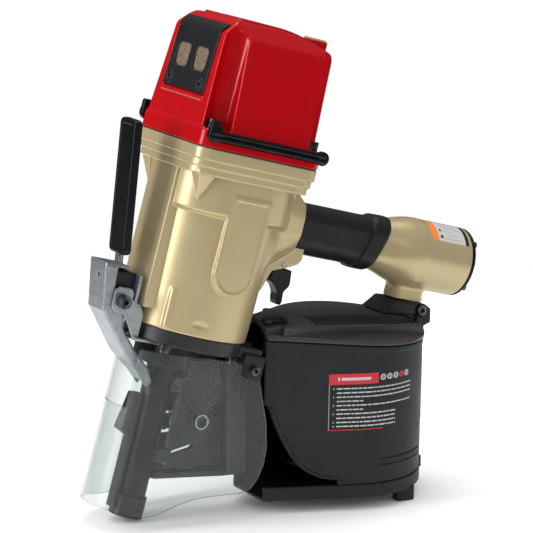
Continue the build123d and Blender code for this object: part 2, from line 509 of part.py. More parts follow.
wall = hull(MR, NR, MAG_Z0 + 0.1, MAG_Z1 + 24) - hull(MR - MAG_WALL, NR - MAG_WALL, MAG_Z0 - 1, MAG_Z1 + 26) - cut_front
under_lid = top(box(40, 420, -120, 120, -60, MAG_Z1))
near_side = box(60, 340, -100, SPLIT_Y, -10, 200)
mbody = wall - near_side
for xk, yk in ((232, 72), (180, 50), (296, 44)):
    dx, dy = xk - MX, yk
    mbody += cylz(5.0, 132, MAG_Z1 + 20, xk, yk) & hull(MR - 0.5, NR - 0.5, 100, MAG_Z1 + 24)
    mbody -= top(cylz(1.7, 136, MAG_Z1 + 1, xk, yk))
    mbody += cylz(5.0, MAG_Z0 + 0.1, 40, xk, yk) & hull(MR - 0.5, NR - 0.5, MAG_Z0, 50)
    mbody -= cylz(1.7, MAG_Z0 - 1, 36, xk, yk)
hx, hy = HINGE
for z0, z1 in ((60, 85.8), (112.2, 136)):
    mbody += cylz(3.8, z0, z1, hx, hy) + box(312.6, hx, hy + 0.2, hy + 3.8, z0, z1)
mbody -= hull(MR - MAG_WALL, NR - MAG_WALL, 45, 130) - box(60, 312.5, -100, 100, 0, 200) - cylz(3.8, 0, 200, hx, hy)
mbody -= cylz(1.6, 50, 150, hx, hy) + cylz(4.3, 85.9, 112.1, hx, hy)
mbody = mbody & under_lid
stand["magazine_body"] = mbody
mdoor = wall & box(60, 340, -100, SPLIT_Y - 0.4, MAG_Z0 + 0.4, MAG_Z1 + 30) & top(box(40, 420, -120, 120, -60, MAG_Z1 - 0.9))
mdoor -= prism([(90, 104), (129, 104), (131, 98), (136, 84), (143, 68), (151, 52.6), (158, 43), (168, 35), (180, 29), (196, 26.5), (196, 10), (90, 10)], -100, -10)
mdoor -= cylz(4.4, 20, 86.05, hx, hy) + cylz(4.4, 111.95, 160, hx, hy)
mdoor += cylz(3.8, 86.1, 111.9, hx, hy) + box(311, hx, hy - 3.8, hy - 0.4, 86.1, 111.9)
mdoor -= cylz(1.6, 50, 150, hx, hy)
stand["magazine_door"] = mdoor
stand["magazine_hinge_pin"] = cylz(1.5, 58, 138, hx, hy)

lid = hull(80.5, 29.5, MAG_Z1 + 0.2, 158)
lid += loft([hull_face(80.5, 29.5, 158), hull_face(66, 17, 166)], ruled=True)
lid += loft([hull_face(66, 17, 166), hull_face(38, 7, 171.5)], ruled=True)


def across(pts, x0, x1):
    face = make_face(Polyline(*[(x0, y, z) for y, z in pts], close=True))
    return extrude(face, amount=x1 - x0, dir=(1, 0, 0))


# low shelf along the near side, a trough behind it and a seat for the catch
lid -= across([(-44, 157.8), (-95, 154.6), (-95, 200), (-44, 200)], 100, 340)
lid -= box(180, 303, -44.5, -18, 162, 200)
lid -= cylz(9, 166.6, 180, 134, -34) + box(134, 154, -41, -27, 166.6, 180)
hollow = hull(75, 24, MAG_Z1 - 1, 156) + loft([hull_face(75, 24, 156), hull_face(60, 12, 163)], ruled=True)
hollow -= box(100, 340, -95, -42, 153.8, 170) + box(177, 306, -46, -15, 159.0, 170) + box(120, 156, -43, -25, 163, 170)
lid -= hollow
lid += (box(141, 300, -52, -44, 155.4, 166.3) & hull(80.3, 29.3, 150, 170)) - hollow
lid -= cut_front
for xk, yk in ((232, 72), (180, 50), (296, 44)):
    lid += cylz(4.5, 153, 162, xk, yk) & hull(80.5, 29.5, 150, 170)
    lid -= cylz(1.9, 150, 180, xk, yk) + cylz(3.9, 159, 180, xk, yk)
lid -= cylz(2.06, 150, 190, 134, -34)
lid = top(lid)
stand["magazine_lid"] = lid.solids().sort_by(SortBy.VOLUME)[-1]
lid = stand["magazine_lid"]
ms = None
for xk, yk in ((232, 72), (180, 50), (296, 44)):
    s = cylz(1.6, 138, 160, xk, yk) + cylz(3.6, 159.2, 162.0, xk, yk) - extrude(Pos(xk, yk, 160.6) * RegularPolygon(1.7, 6), 4)
    s = top(s)
    t = cylz(1.6, 11, 34, xk, yk) + cylz(3.4, 5.4, 7.9, xk, yk)
    t += cylz(1.6, 7, 12, xk, yk)
    s += t
    ms = s if ms is None else ms + s
for xk, yk in ((232, 72), (180, 50), (296, 44)):
    stand["magazine_base"] -= cylz(1.8, 0, 30, xk, yk)
# canister catch on the lid
catch = box(127.5, 151, -38, -30, 166.9, 170.2) + cylz(5.5, 166.9, 171.4, 134, -34) + cylz(2.0, 164.0, 168, 134, -34)
catch += box(147, 151, -40, -29, 166.9, 172.0)
stand["magazine_catch"] = top(catch)
# rear bracket from the lid to the handle stem
rb = prism([(268, 173), (288, 186.0), (323, 179), (329, 174), (329, 160), (318, 156), (300, 158.5), (285, 163), (270, 168.5)], -20, 20)
rb -= lid
rb -= top(hull(75, 24, 140, 170)) - box(60, 340, -16, 100, 100, 200) - box(60, 340, -100, -45, 100, 200)
rb -= cylz(90, 140, 152.1, MX, 0)
tool_rb = Rot(0, -TILT, 0) * rb
tool_rb -= slab(36.6, 26.6, 8, 255.8, 300, x=249)
tool_rb -= box(252.6, 269.4, -8.3, 8.3, 241, 270)
tool_rb -= cyly(3.1, -30, 30, 262, 250) + cyly(6.2, -30, -17.5, 262, 250) + cyly(6.2, 17.5, 30, 262, 250)
for s in (-1, 1):
    pass
stand["rear_bracket"] = Rot(0, TILT, 0) * tool_rb.solids().sort_by(SortBy.VOLUME)[-1]
tool["stem_screw"] = cyly(3.0, -18, 18.5, 262, 250) + cyly(5.4, -22.5, -17.6, 262, 250) + cyly(5.6, 17.6, 21, 262, 250) - extrude(
    Plane(origin=(262, -20, 250), x_dir=(1, 0, 0), z_dir=(0, -1, 0)) * RegularPolygon(2.6, 6), amount=5)

# throat between nose and canister
thr = box(103.8, MAG_FRONT - 0.2, CHANNEL, 11, 34, 146) + box(103.8, MAG_FRONT - 0.2, -11, -CHANNEL - 0.4, 34, 146)
thr += box(103.8, MAG_FRONT - 0.2, -11, 11, 28, 34)
thr += box(90, MAG_FRONT - 0.2, 11.1, 15, 56, 70) + box(90, MAG_FRONT - 0.2, 11.1, 15, 106, 122)
thr += box(118, MAG_FRONT - 0.2, 5.2, 14.8, 34, 146)
for xs, zs in ((97, 66), (97, 114)):
    thr -= cyly(2.2, 10, 17, xs, zs)
stand["magazine_throat"] = thr
ts = None
for xs, zs in ((97, 66), (97, 114)):
    s = cyly(2.0, 6, 15.1, xs, zs) + cyly(3.8, 15.1, 18.4, xs, zs)
    ts = s if ts is None else ts + s
stand["magazine_screws"] = ms + ts + post_screw

# ---------------------------------------------------------------- write
place_tool = Pos(*SHIFT) * Rot(0, TILT, 0)
place_stand = Pos(*SHIFT)
out = {name: place_tool * shape for name, shape in tool.items()}
out.update({name: place_stand * shape for name, shape in stand.items()})
lo, hi = [1e9] * 3, [-1e9] * 3
for name, shape in out.items():
    solids = shape.solids()
    item = solids[0] if len(solids) == 1 else Compound(children=list(solids))
    export_step(item, f"parts/{name}.step")
    b = item.bounding_box()
    for i, (p, q) in enumerate(zip(tuple(b.min), tuple(b.max))):
        lo[i], hi[i] = min(lo[i], p), max(hi[i], q)
print("nodes", len(out), "low", [round(v, 2) for v in lo], "high", [round(v, 2) for v in hi])
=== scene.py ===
import json
import math
import bpy
import bmesh
import numpy as np
from mathutils import Matrix, Vector
from mathutils.bvhtree import BVHTree


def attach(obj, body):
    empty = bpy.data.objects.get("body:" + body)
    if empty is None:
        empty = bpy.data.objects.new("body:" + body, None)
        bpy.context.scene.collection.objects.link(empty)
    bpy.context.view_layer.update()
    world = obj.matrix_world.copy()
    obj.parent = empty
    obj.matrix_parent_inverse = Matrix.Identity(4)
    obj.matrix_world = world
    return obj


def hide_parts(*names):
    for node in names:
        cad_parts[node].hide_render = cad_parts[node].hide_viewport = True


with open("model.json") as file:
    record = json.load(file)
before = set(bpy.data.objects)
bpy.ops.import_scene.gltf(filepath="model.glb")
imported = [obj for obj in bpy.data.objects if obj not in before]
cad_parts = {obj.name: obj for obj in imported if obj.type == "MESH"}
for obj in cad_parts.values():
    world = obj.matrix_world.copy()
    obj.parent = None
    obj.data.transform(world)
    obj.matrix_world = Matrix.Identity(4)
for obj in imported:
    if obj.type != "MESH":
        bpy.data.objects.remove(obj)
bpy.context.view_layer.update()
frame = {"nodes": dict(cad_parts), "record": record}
NODES = frame["nodes"]

# Lengths are in millimetres and turned into the row frame at the end. "T" is the
# tool frame (drive axis up), "S" the standing frame (canister upright), "L" the
# lid's own frame, tipped 5 degrees up at the front about the canister's rear edge.
SHIFT = (-168.73, 0.0, 4.296)
CT, ST = math.cos(math.radians(15)), math.sin(math.radians(15))
CL, SL = math.cos(math.radians(5)), math.sin(math.radians(5))
BX = 15.0


def to_row(v, space):
    v = np.asarray(v, float)
    x, y, z = v[..., 0], v[..., 1], v[..., 2]
    if space == "T":
        x, z = x * CT + z * ST, -x * ST + z * CT
    if space == "L":
        x, z = 318 + (x - 318) * CL + (z - 152) * SL, 152 - (x - 318) * SL + (z - 152) * CL
    return np.stack([(x + SHIFT[0]) / 1000, (y + SHIFT[1]) / 1000, (z + SHIFT[2]) / 1000], -1)


def turn_row(v, space):
    v = np.asarray(v, float)
    x, y, z = v[..., 0], v[..., 1], v[..., 2]
    if space == "T":
        x, z = x * CT + z * ST, -x * ST + z * CT
    if space == "L":
        x, z = x * CL + z * SL, -x * SL + z * CL
    return np.stack([x, y, z], -1)


# ------------------------------------------------------------- distance fields
def smin(a, b, k):
    h = np.clip(0.5 + 0.5 * (b - a) / k, 0, 1)
    return b + (a - b) * h - k * h * (1 - h)


def smax(a, b, k=0.8):
    return -smin(-a, -b, k)


def cut(a, b, k=0.8):
    return smax(a, -b, k)


def rr(u, v, hu, hv, r):
    qu, qv = np.abs(u) - (hu - r), np.abs(v) - (hv - r)
    return np.hypot(np.maximum(qu, 0), np.maximum(qv, 0)) + np.minimum(np.maximum(qu, qv), 0) - r


def span(w, a, b):
    return np.abs(w - (a + b) / 2) - (b - a) / 2


def block(x, y, z, x0, x1, y0, y1, z0, z1, r=0.8):
    qx, qy, qz = span(x, x0, x1) + r, span(y, y0, y1) + r, span(z, z0, z1) + r
    out = np.sqrt(np.maximum(qx, 0) ** 2 + np.maximum(qy, 0) ** 2 + np.maximum(qz, 0) ** 2)
    return out + np.minimum(np.maximum(np.maximum(qx, qy), qz), 0) - r


def rod(u, v, w, r, w0, w1, k=0.6):
    return smax(np.hypot(u, v) - r, span(w, w0, w1), k)


def poly(u, v, pts):
    d = np.full(u.shape, 1e18)
    s = np.ones(u.shape)
    for i in range(len(pts)):
        (ax, ay), (cx, cy) = pts[i], pts[i - 1]
        ex, ey = cx - ax, cy - ay
        wx, wy = u - ax, v - ay
        t = np.clip((wx * ex + wy * ey) / (ex * ex + ey * ey), 0, 1)
        d = np.minimum(d, (wx - ex * t) ** 2 + (wy - ey * t) ** 2)
        c1, c2, c3 = v >= ay, v < cy, ex * wy > ey * wx
        s = np.where((c1 & c2 & c3) | (~c1 & ~c2 & ~c3), -s, s)
    return s * np.sqrt(d)


def hull(x, y, r1, r2):
    dx, dy = 130.0 - 239.0, -18.0
    h = math.hypot(dx, dy)
    ax, ay = dx / h, dy / h
    px, py = x - 239.0, y
    v, u = px * ax + py * ay, np.abs(-px * ay + py * ax)
    b = (r1 - r2) / h
    a = math.sqrt(1 - b * b)
    k = -b * u + a * v
    return np.where(k < 0, np.hypot(u, v) - r1, np.where(k > a * h, np.hypot(u, v - h) - r2, u * a + v * b - r1))


def smooth01(t):
    t = np.clip(t, 0, 1)
    return t * t * (3 - 2 * t)


def surface(f, lo, hi, h):
    """Quads of the zero level of f, its vertices moved onto it, and its normals."""
    B = 4
    nb = [int(math.ceil((hi[i] - lo[i] + 2 * h) / h / B)) for i in range(3)]
    lo = [lo[i] - h for i in range(3)]
    cs = [lo[i] + h * (B * np.arange(nb[i]) + (B - 1) / 2) for i in range(3)]
    coarse = f(*np.meshgrid(*cs, indexing="ij"))
    near = np.abs(coarse) < (B * 0.5 * 1.7321 + 1.2) * h * 1.35
    rep = lambda m: m.repeat(B, 0).repeat(B, 1).repeat(B, 2)
    mask, V = rep(near), rep(np.where(coarse < 0, -50.0, 50.0))
    idx = np.nonzero(mask)
    V[idx] = f(lo[0] + h * idx[0], lo[1] + h * idx[1], lo[2] + h * idx[2])
    ins = V < 0
    cell = np.zeros([n - 1 for n in V.shape], np.int8)
    for a in (0, 1):
        for b in (0, 1):
            for c in (0, 1):
                cell += ins[a:ins.shape[0] - 1 + a, b:ins.shape[1] - 1 + b, c:ins.shape[2] - 1 + c]
    act = np.nonzero((cell > 0) & (cell < 8))
    num = np.full(cell.shape, -1, np.int64)
    num[act] = np.arange(len(act[0]))
    P = np.zeros((len(act[0]), 3))
    cnt = np.zeros(len(act[0]))
    corner = [(a, b, c) for a in (0, 1) for b in (0, 1) for c in (0, 1)]
    for p in corner:
        for q in corner:
            if p < q and sum(abs(p[i] - q[i]) for i in range(3)) == 1:
                va = V[act[0] + p[0], act[1] + p[1], act[2] + p[2]]
                vb = V[act[0] + q[0], act[1] + q[1], act[2] + q[2]]
                m = (va < 0) != (vb < 0)
                t = np.where(m, va / np.where(m, va - vb, 1), 0)
                for i in range(3):
                    P[:, i] += np.where(m, p[i] + t * (q[i] - p[i]), 0)
                cnt += m
    P = (P / cnt[:, None] + np.stack(act, 1)) * h + np.array(lo)
    quads = []
    for ax in range(3):
        o = [i for i in range(3) if i != ax]
        a = np.take(ins, range(0, ins.shape[ax] - 1), ax)
        b = np.take(ins, range(1, ins.shape[ax]), ax)
        e = np.nonzero(a != b)
        keep = (e[o[0]] > 0) & (e[o[1]] > 0) & (e[o[0]] < cell.shape[o[0]]) & (e[o[1]] < cell.shape[o[1]])
        e = [k[keep] for k in e]
        flip = a[tuple(e)]

        def at(d0, d1):
            j = [k.copy() for k in e]
            j[o[0]] -= d0
            j[o[1]] -= d1
            return num[tuple(j)]

        q = np.stack([at(1, 1), at(0, 1), at(0, 0), at(1, 0)], 1)
        if ax == 1:
            flip = ~flip
        quads.append(np.where(flip[:, None], q, q[:, ::-1]))
    Q = np.concatenate(quads)
    e = 0.12 * h

    def grad(p):
        x, y, z = p[:, 0], p[:, 1], p[:, 2]
        g = np.stack([f(x + e, y, z) - f(x - e, y, z), f(x, y + e, z) - f(x, y - e, z), f(x, y, z + e) - f(x, y, z - e)], 1)
        return g / (2 * e)

    start = P.copy()
    for _ in range(3):
        g = grad(P)
        step = f(P[:, 0], P[:, 1], P[:, 2])[:, None] * g / np.maximum((g * g).sum(1), 0.05)[:, None]
        P = P - step
        off = P - start
        ln = np.linalg.norm(off, axis=1, keepdims=True)
        P = start + off * np.minimum(1, 0.7 * h / np.maximum(ln, 1e-9))
    g = grad(P)
    N = g / np.maximum(np.linalg.norm(g, axis=1, keepdims=True), 1e-9)
    return P, Q, N


def mesh_object(name, verts, faces, body, mats, normals=None, mat_index=None, smooth=True):
    me = bpy.data.meshes.new(name)
    me.from_pydata(verts.tolist() if hasattr(verts, "tolist") else verts, [], faces.tolist() if hasattr(faces, "tolist") else faces)
    for m in mats:
        me.materials.append(m)
    me.polygons.foreach_set("use_smooth", [smooth] * len(me.polygons))
    if mat_index is not None:
        me.polygons.foreach_set("material_index", mat_index)
    me.update()
    if normals is not None:
        me.normals_split_custom_set_from_vertices([tuple(n) for n in normals])
    o = bpy.data.objects.new(name, me)
    bpy.context.scene.collection.objects.link(o)
    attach(o, body)
    return o


def sculpt(name, f, lo, hi, h, space, body, mat, replaces=()):
    P, Q, N = surface(f, lo, hi, h)
    o = mesh_object(name, to_row(P, space), Q, body, [mat], turn_row(N, space))
    if replaces:
        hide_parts(*replaces)
    return o


def soften(name, node, body, mat, voxel=0.7, rounds=3, keep=True):
    """A new piece with the CAD node's shape and softened, cast-looking edges."""
    src = NODES[node]
    me = src.data.copy()
    o = bpy.data.objects.new(name, me)
    bpy.context.scene.collection.objects.link(o)
    me.transform(Matrix.Scale(1000, 4))
    w = o.modifiers.new("weld", "WELD")
    w.merge_threshold = 0.001
    m = o.modifiers.new("remesh", "REMESH")
    m.mode = "VOXEL"
    m.voxel_size = voxel
    s = o.modifiers.new("smooth", "SMOOTH")
    s.factor = 0.5
    s.iterations = rounds
    bpy.context.view_layer.update()
    dg = bpy.context.evaluated_depsgraph_get()
    new = bpy.data.meshes.new_from_object(o.evaluated_get(dg))
    bpy.data.objects.remove(o)
    bpy.data.meshes.remove(me)
    new.transform(Matrix.Scale(0.001, 4))
    new.name = name
    new.materials.clear()
    new.materials.append(mat)
    new.polygons.foreach_set("use_smooth", [True] * len(new.polygons))
    new.update()
    o = bpy.data.objects.new(name, new)
    bpy.context.scene.collection.objects.link(o)
    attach(o, body)
    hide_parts(node)
    return o


# ------------------------------------------------------------------- materials
def material(name, base, rough, metal=0.0, vary=0.08, vary_scale=18.0, second=None, rough_vary=0.06, bump=0.15, bump_scale=900.0,
             bump_dist=0.0002, bump_kind="noise", coat=0.0, coat_rough=0.06, spec=0.5, edge=None, edge_amount=0.5, smudge=None):
    m = bpy.data.materials.new(name)
    m.use_nodes = True
    nt = m.node_tree
    nt.nodes.clear()
    N, L = nt.nodes.new, nt.links.new
    out, p = N("ShaderNodeOutputMaterial"), N("ShaderNodeBsdfPrincipled")
    L(p.outputs[0], out.inputs[0])
    p.inputs["Metallic"].default_value = metal
    p.inputs["Coat Weight"].default_value = coat
    p.inputs["Coat Roughness"].default_value = coat_rough
    p.inputs["Specular IOR Level"].default_value = spec
    tc = N("ShaderNodeTexCoord")
    n1 = N("ShaderNodeTexNoise")
    n1.inputs["Scale"].default_value = vary_scale
    n1.inputs["Detail"].default_value = 6
    L(tc.outputs["Object"], n1.inputs["Vector"])
    mix = N("ShaderNodeMix")
    mix.data_type = "RGBA"
    second = second or [c * (1 - 2 * vary) for c in base]
    mix.inputs[6].default_value = (*base, 1)
    mix.inputs[7].default_value = (*second, 1)
    r1 = N("ShaderNodeMapRange")
    r1.inputs["From Min"].default_value = 0.35
    r1.inputs["From Max"].default_value = 0.65
    L(n1.outputs["Fac"], r1.inputs["Value"])
    L(r1.outputs[0], mix.inputs[0])
    colour = mix.outputs[2]
    if edge:
        geo = N("ShaderNodeNewGeometry")
        er = N("ShaderNodeMapRange")
        er.inputs["From Min"].default_value = 0.53
        er.inputs["From Max"].default_value = 0.60
        er.inputs["To Max"].default_value = edge_amount
        L(geo.outputs["Pointiness"], er.inputs["Value"])
        brk = N("ShaderNodeTexNoise")
        brk.inputs["Scale"].default_value = 160
        brk.inputs["Detail"].default_value = 5
        L(tc.outputs["Object"], brk.inputs["Vector"])
        bm = N("ShaderNodeMapRange")
        bm.inputs["From Min"].default_value = 0.4
        bm.inputs["From Max"].default_value = 0.6
        L(brk.outputs["Fac"], bm.inputs["Value"])
        mul = N("ShaderNodeMath")
        mul.operation = "MULTIPLY"
        L(er.outputs[0], mul.inputs[0])
        L(bm.outputs[0], mul.inputs[1])
        m2 = N("ShaderNodeMix")
        m2.data_type = "RGBA"
        m2.inputs[7].default_value = (*edge, 1)
        L(colour, m2.inputs[6])
        L(mul.outputs[0], m2.inputs[0])
        colour = m2.outputs[2]
    L(colour, p.inputs["Base Color"])
    n2 = N("ShaderNodeTexNoise")
    n2.inputs["Scale"].default_value = vary_scale * 3.1
    n2.inputs["Detail"].default_value = 8
    L(tc.outputs["Object"], n2.inputs["Vector"])
    r2 = N("ShaderNodeMapRange")
    r2.inputs["From Min"].default_value = 0.3
    r2.inputs["From Max"].default_value = 0.7
    r2.inputs["To Min"].default_value = max(0.02, rough - rough_vary)
    r2.inputs["To Max"].default_value = min(1.0, rough + rough_vary)
    L(n2.outputs["Fac"], r2.inputs["Value"])
    L(r2.outputs[0], p.inputs["Roughness"])
    if bump:
        if bump_kind == "cells":
            t = N("ShaderNodeTexVoronoi")
            t.feature = "F1"
            t.inputs["Scale"].default_value = bump_scale
            h = t.outputs["Distance"]
        elif bump_kind == "brushed":
            mp = N("ShaderNodeMapping")
            mp.inputs["Scale"].default_value = (1, 1, 22)
            L(tc.outputs["Object"], mp.inputs["Vector"])
            t = N("ShaderNodeTexNoise")
            t.inputs["Scale"].default_value = bump_scale
            L(mp.outputs[0], t.inputs["Vector"])
            h = t.outputs["Fac"]
        else:
            t = N("ShaderNodeTexNoise")
            t.inputs["Scale"].default_value = bump_scale
            t.inputs["Detail"].default_value = 4
            h = t.outputs["Fac"]
        if bump_kind != "brushed":
            L(tc.outputs["Object"], t.inputs["Vector"])
        b = N("ShaderNodeBump")
        b.inputs["Strength"].default_value = bump
        b.inputs["Distance"].default_value = bump_dist
        L(h, b.inputs["Height"])
        L(b.outputs[0], p.inputs["Normal"])
    return m


M = {}
M["gold"] = material("champagne_coat", (0.50, 0.41, 0.225), 0.35, 0.45, vary=0.03, vary_scale=14, rough_vary=0.03, bump=0.10, bump_scale=1500,
                     bump_dist=0.00006, edge=(0.66, 0.58, 0.42), edge_amount=0.35)
M["red"] = material("red_gloss", (0.375, 0.0003, 0.003), 0.24, 0.0, vary=0.05, vary_scale=10, rough_vary=0.02, bump=0.05, bump_scale=420,
                    bump_dist=0.00008, coat=0.42, coat_rough=0.07, edge=(0.50, 0.006, 0.012), edge_amount=0.25, spec=0.1)
M["plastic"] = material("black_moulding", (0.009, 0.0095, 0.0105), 0.44, spec=0.35, vary=0.12, bump=0.25, bump_scale=1700, bump_dist=0.00008, bump_kind="cells",
                        edge=(0.09, 0.09, 0.095), edge_amount=0.3)
M["canister"] = material("canister_moulding", (0.0102, 0.0122, 0.0138), 0.50, spec=0.28, vary=0.10, vary_scale=9, bump=0.35, bump_scale=1300, bump_dist=0.0001,
                         bump_kind="cells", edge=(0.10, 0.10, 0.105), edge_amount=0.35)
M["canister_inner"] = material("canister_inner_moulding", (0.0102, 0.0122, 0.0138), 0.50, spec=0.28, vary=0.10, vary_scale=9, bump=0.35, bump_scale=1300,
                               bump_dist=0.0001, bump_kind="cells")
M["lid"] = material("lid_moulding", (0.031, 0.031, 0.0315), 0.42, spec=0.5, vary=0.12, vary_scale=12, bump=0.35, bump_scale=1300, bump_dist=0.0001,
                    bump_kind="cells", edge=(0.13, 0.13, 0.13), edge_amount=0.35)
M["rubber"] = material("grip_rubber_skin", (0.0085, 0.0088, 0.0105), 0.50, spec=0.4, vary=0.15, vary_scale=30, bump=0.5, bump_scale=1100, bump_dist=0.00016,
                       bump_kind="cells")
M["rubber_smooth"] = material("strip_rubber_skin", (0.0036, 0.0044, 0.0054), 0.36, spec=0.25, vary=0.2, vary_scale=60, bump=0.25, bump_scale=700)
M["dark"] = material("blackened_casting", (0.050, 0.049, 0.045), 0.42, 0.65, vary=0.22, vary_scale=40, bump=0.14, bump_scale=600, bump_dist=0.00016,
                     edge=(0.20, 0.20, 0.19), edge_amount=0.6)
M["dark_flange"] = material("flange_black", (0.030, 0.030, 0.030), 0.42, 0.3, vary=0.2, vary_scale=40, bump=0.14, bump_scale=700, bump_dist=0.00014,
                            edge=(0.14, 0.14, 0.14), edge_amount=0.4)
M["screw"] = material("black_oxide", (0.035, 0.036, 0.038), 0.34, 0.8, vary=0.2, vary_scale=120, bump=0.2, bump_scale=900, edge=(0.22, 0.22, 0.22),
                      edge_amount=0.5)
M["zinc"] = material("zinc_sheet", (0.345, 0.372, 0.39), 0.36, 0.75, vary=0.10, vary_scale=90, second=(0.27, 0.295, 0.315), rough_vary=0.10, bump=0.2,
                     bump_scale=260, bump_dist=0.0001, edge=(0.80, 0.82, 0.84), edge_amount=0.4)
M["bright"] = material("ground_steel", (0.62, 0.62, 0.63), 0.24, 0.95, vary=0.08, vary_scale=80, bump=0.25, bump_scale=700, bump_kind="brushed")
M["spring"] = material("spring_wire", (0.20, 0.20, 0.21), 0.34, 0.9, vary=0.15, vary_scale=150, bump=0.15, bump_scale=900)
M["alu"] = material("machined_aluminium", (0.72, 0.72, 0.74), 0.30, 0.95, vary=0.06, bump=0.2, bump_scale=500, bump_kind="brushed")
M["mesh"] = material("sintered_mesh", (0.27, 0.19, 0.125), 0.62, 0.25, vary=0.25, vary_scale=300, second=(0.17, 0.115, 0.075), bump=0.8, bump_scale=1500,
                     bump_dist=0.0003, bump_kind="cells")
M["wire"] = material("mesh_wire", (0.42, 0.32, 0.23), 0.45, 0.5, vary=0.2, vary_scale=400, bump=0.2, bump_scale=2000)
M["seal"] = material("seal_rubber_skin", (0.012, 0.012, 0.012), 0.6, vary=0.2, bump=0.2, bump_scale=900)
M["print_red"] = material("print_red", (0.48, 0.008, 0.016), 0.42, vary=0.05, bump=0.08, bump_scale=600)
M["print_white"] = material("print_pale", (0.46, 0.46, 0.45), 0.5, vary=0.06, bump=0.08, bump_scale=600)
M["print_grey"] = material("print_grey", (0.30, 0.30, 0.30), 0.5, vary=0.10, bump=0.08, bump_scale=600)
M["print_orange"] = material("print_orange", (0.75, 0.20, 0.03), 0.45, vary=0.05, bump=0.08, bump_scale=600)
M["print_black"] = material("print_black", (0.012, 0.012, 0.012), 0.45, vary=0.1, bump=0.08, bump_scale=600)
M["beige"] = material("beige_tab_top", (0.52, 0.42, 0.25), 0.42, 0.3, vary=0.05, bump=0.1, bump_scale=600)


def clear_sheet():
    m = bpy.data.materials.new("clear_polycarbonate")
    m.use_nodes = True
    nt = m.node_tree
    nt.nodes.clear()
    N, L = nt.nodes.new, nt.links.new
    out = N("ShaderNodeOutputMaterial")
    tr, gl, mx = N("ShaderNodeBsdfTransparent"), N("ShaderNodeBsdfPrincipled"), N("ShaderNodeMixShader")
    tr.inputs[0].default_value = (0.905, 0.93, 0.915, 1)
    gl.inputs["Base Color"].default_value = (0.42, 0.45, 0.45, 1)
    gl.inputs["Roughness"].default_value = 0.06
    gl.inputs["Specular IOR Level"].default_value = 0.6
    lw = N("ShaderNodeLayerWeight")
    lw.inputs["Blend"].default_value = 0.22
    rg = N("ShaderNodeMapRange")
    rg.inputs["From Min"].default_value = 0.0
    rg.inputs["From Max"].default_value = 1.0
    rg.inputs["To Min"].default_value = 0.035
    rg.inputs["To Max"].default_value = 0.75
    tc, ns = N("ShaderNodeTexCoord"), N("ShaderNodeTexNoise")
    ns.inputs["Scale"].default_value = 22
    ns.inputs["Detail"].default_value = 5
    L(tc.outputs["Object"], ns.inputs["Vector"])
    rr_ = N("ShaderNodeMapRange")
    rr_.inputs["To Min"].default_value = 0.03
    rr_.inputs["To Max"].default_value = 0.13
    L(ns.outputs["Fac"], rr_.inputs["Value"])
    L(rr_.outputs[0], gl.inputs["Roughness"])
    L(lw.outputs["Facing"], rg.inputs["Value"])
    L(rg.outputs[0], mx.inputs[0])
    L(tr.outputs[0], mx.inputs[1])
    L(gl.outputs[0], mx.inputs[2])
    L(mx.outputs[0], out.inputs[0])
    return m


M["clear"] = clear_sheet()

SLOT_MAT = {"gold_casting": "gold", "red_cap": "red", "black_plastic": "plastic", "black_rubber": "rubber", "dark_steel": "dark", "black_screw": "screw",
            "galvanised": "zinc", "bright_steel": "bright", "spring_steel": "spring", "alu_inner": "alu", "clear_shield": "clear", "filter_mesh": "mesh",
            "seal_rubber": "seal"}
node_slot = {s["node"]: s["material_slot"] for s in frame["record"]["subparts"]}
for node, obj in NODES.items():
    use = M[SLOT_MAT[node_slot[node]]]
    if node == "nose_flange":
        use = M["dark_flange"]
    obj.data.materials.clear()
    obj.data.materials.append(use)
    obj.data.polygons.foreach_set("material_index", [0] * len(obj.data.polygons))

# -------------------------------------------------------------------- head cap
CORNERS = [(BX + sx * 54.5, sy * 54.0) for sx in (-1, 1) for sy in (-1, 1)]


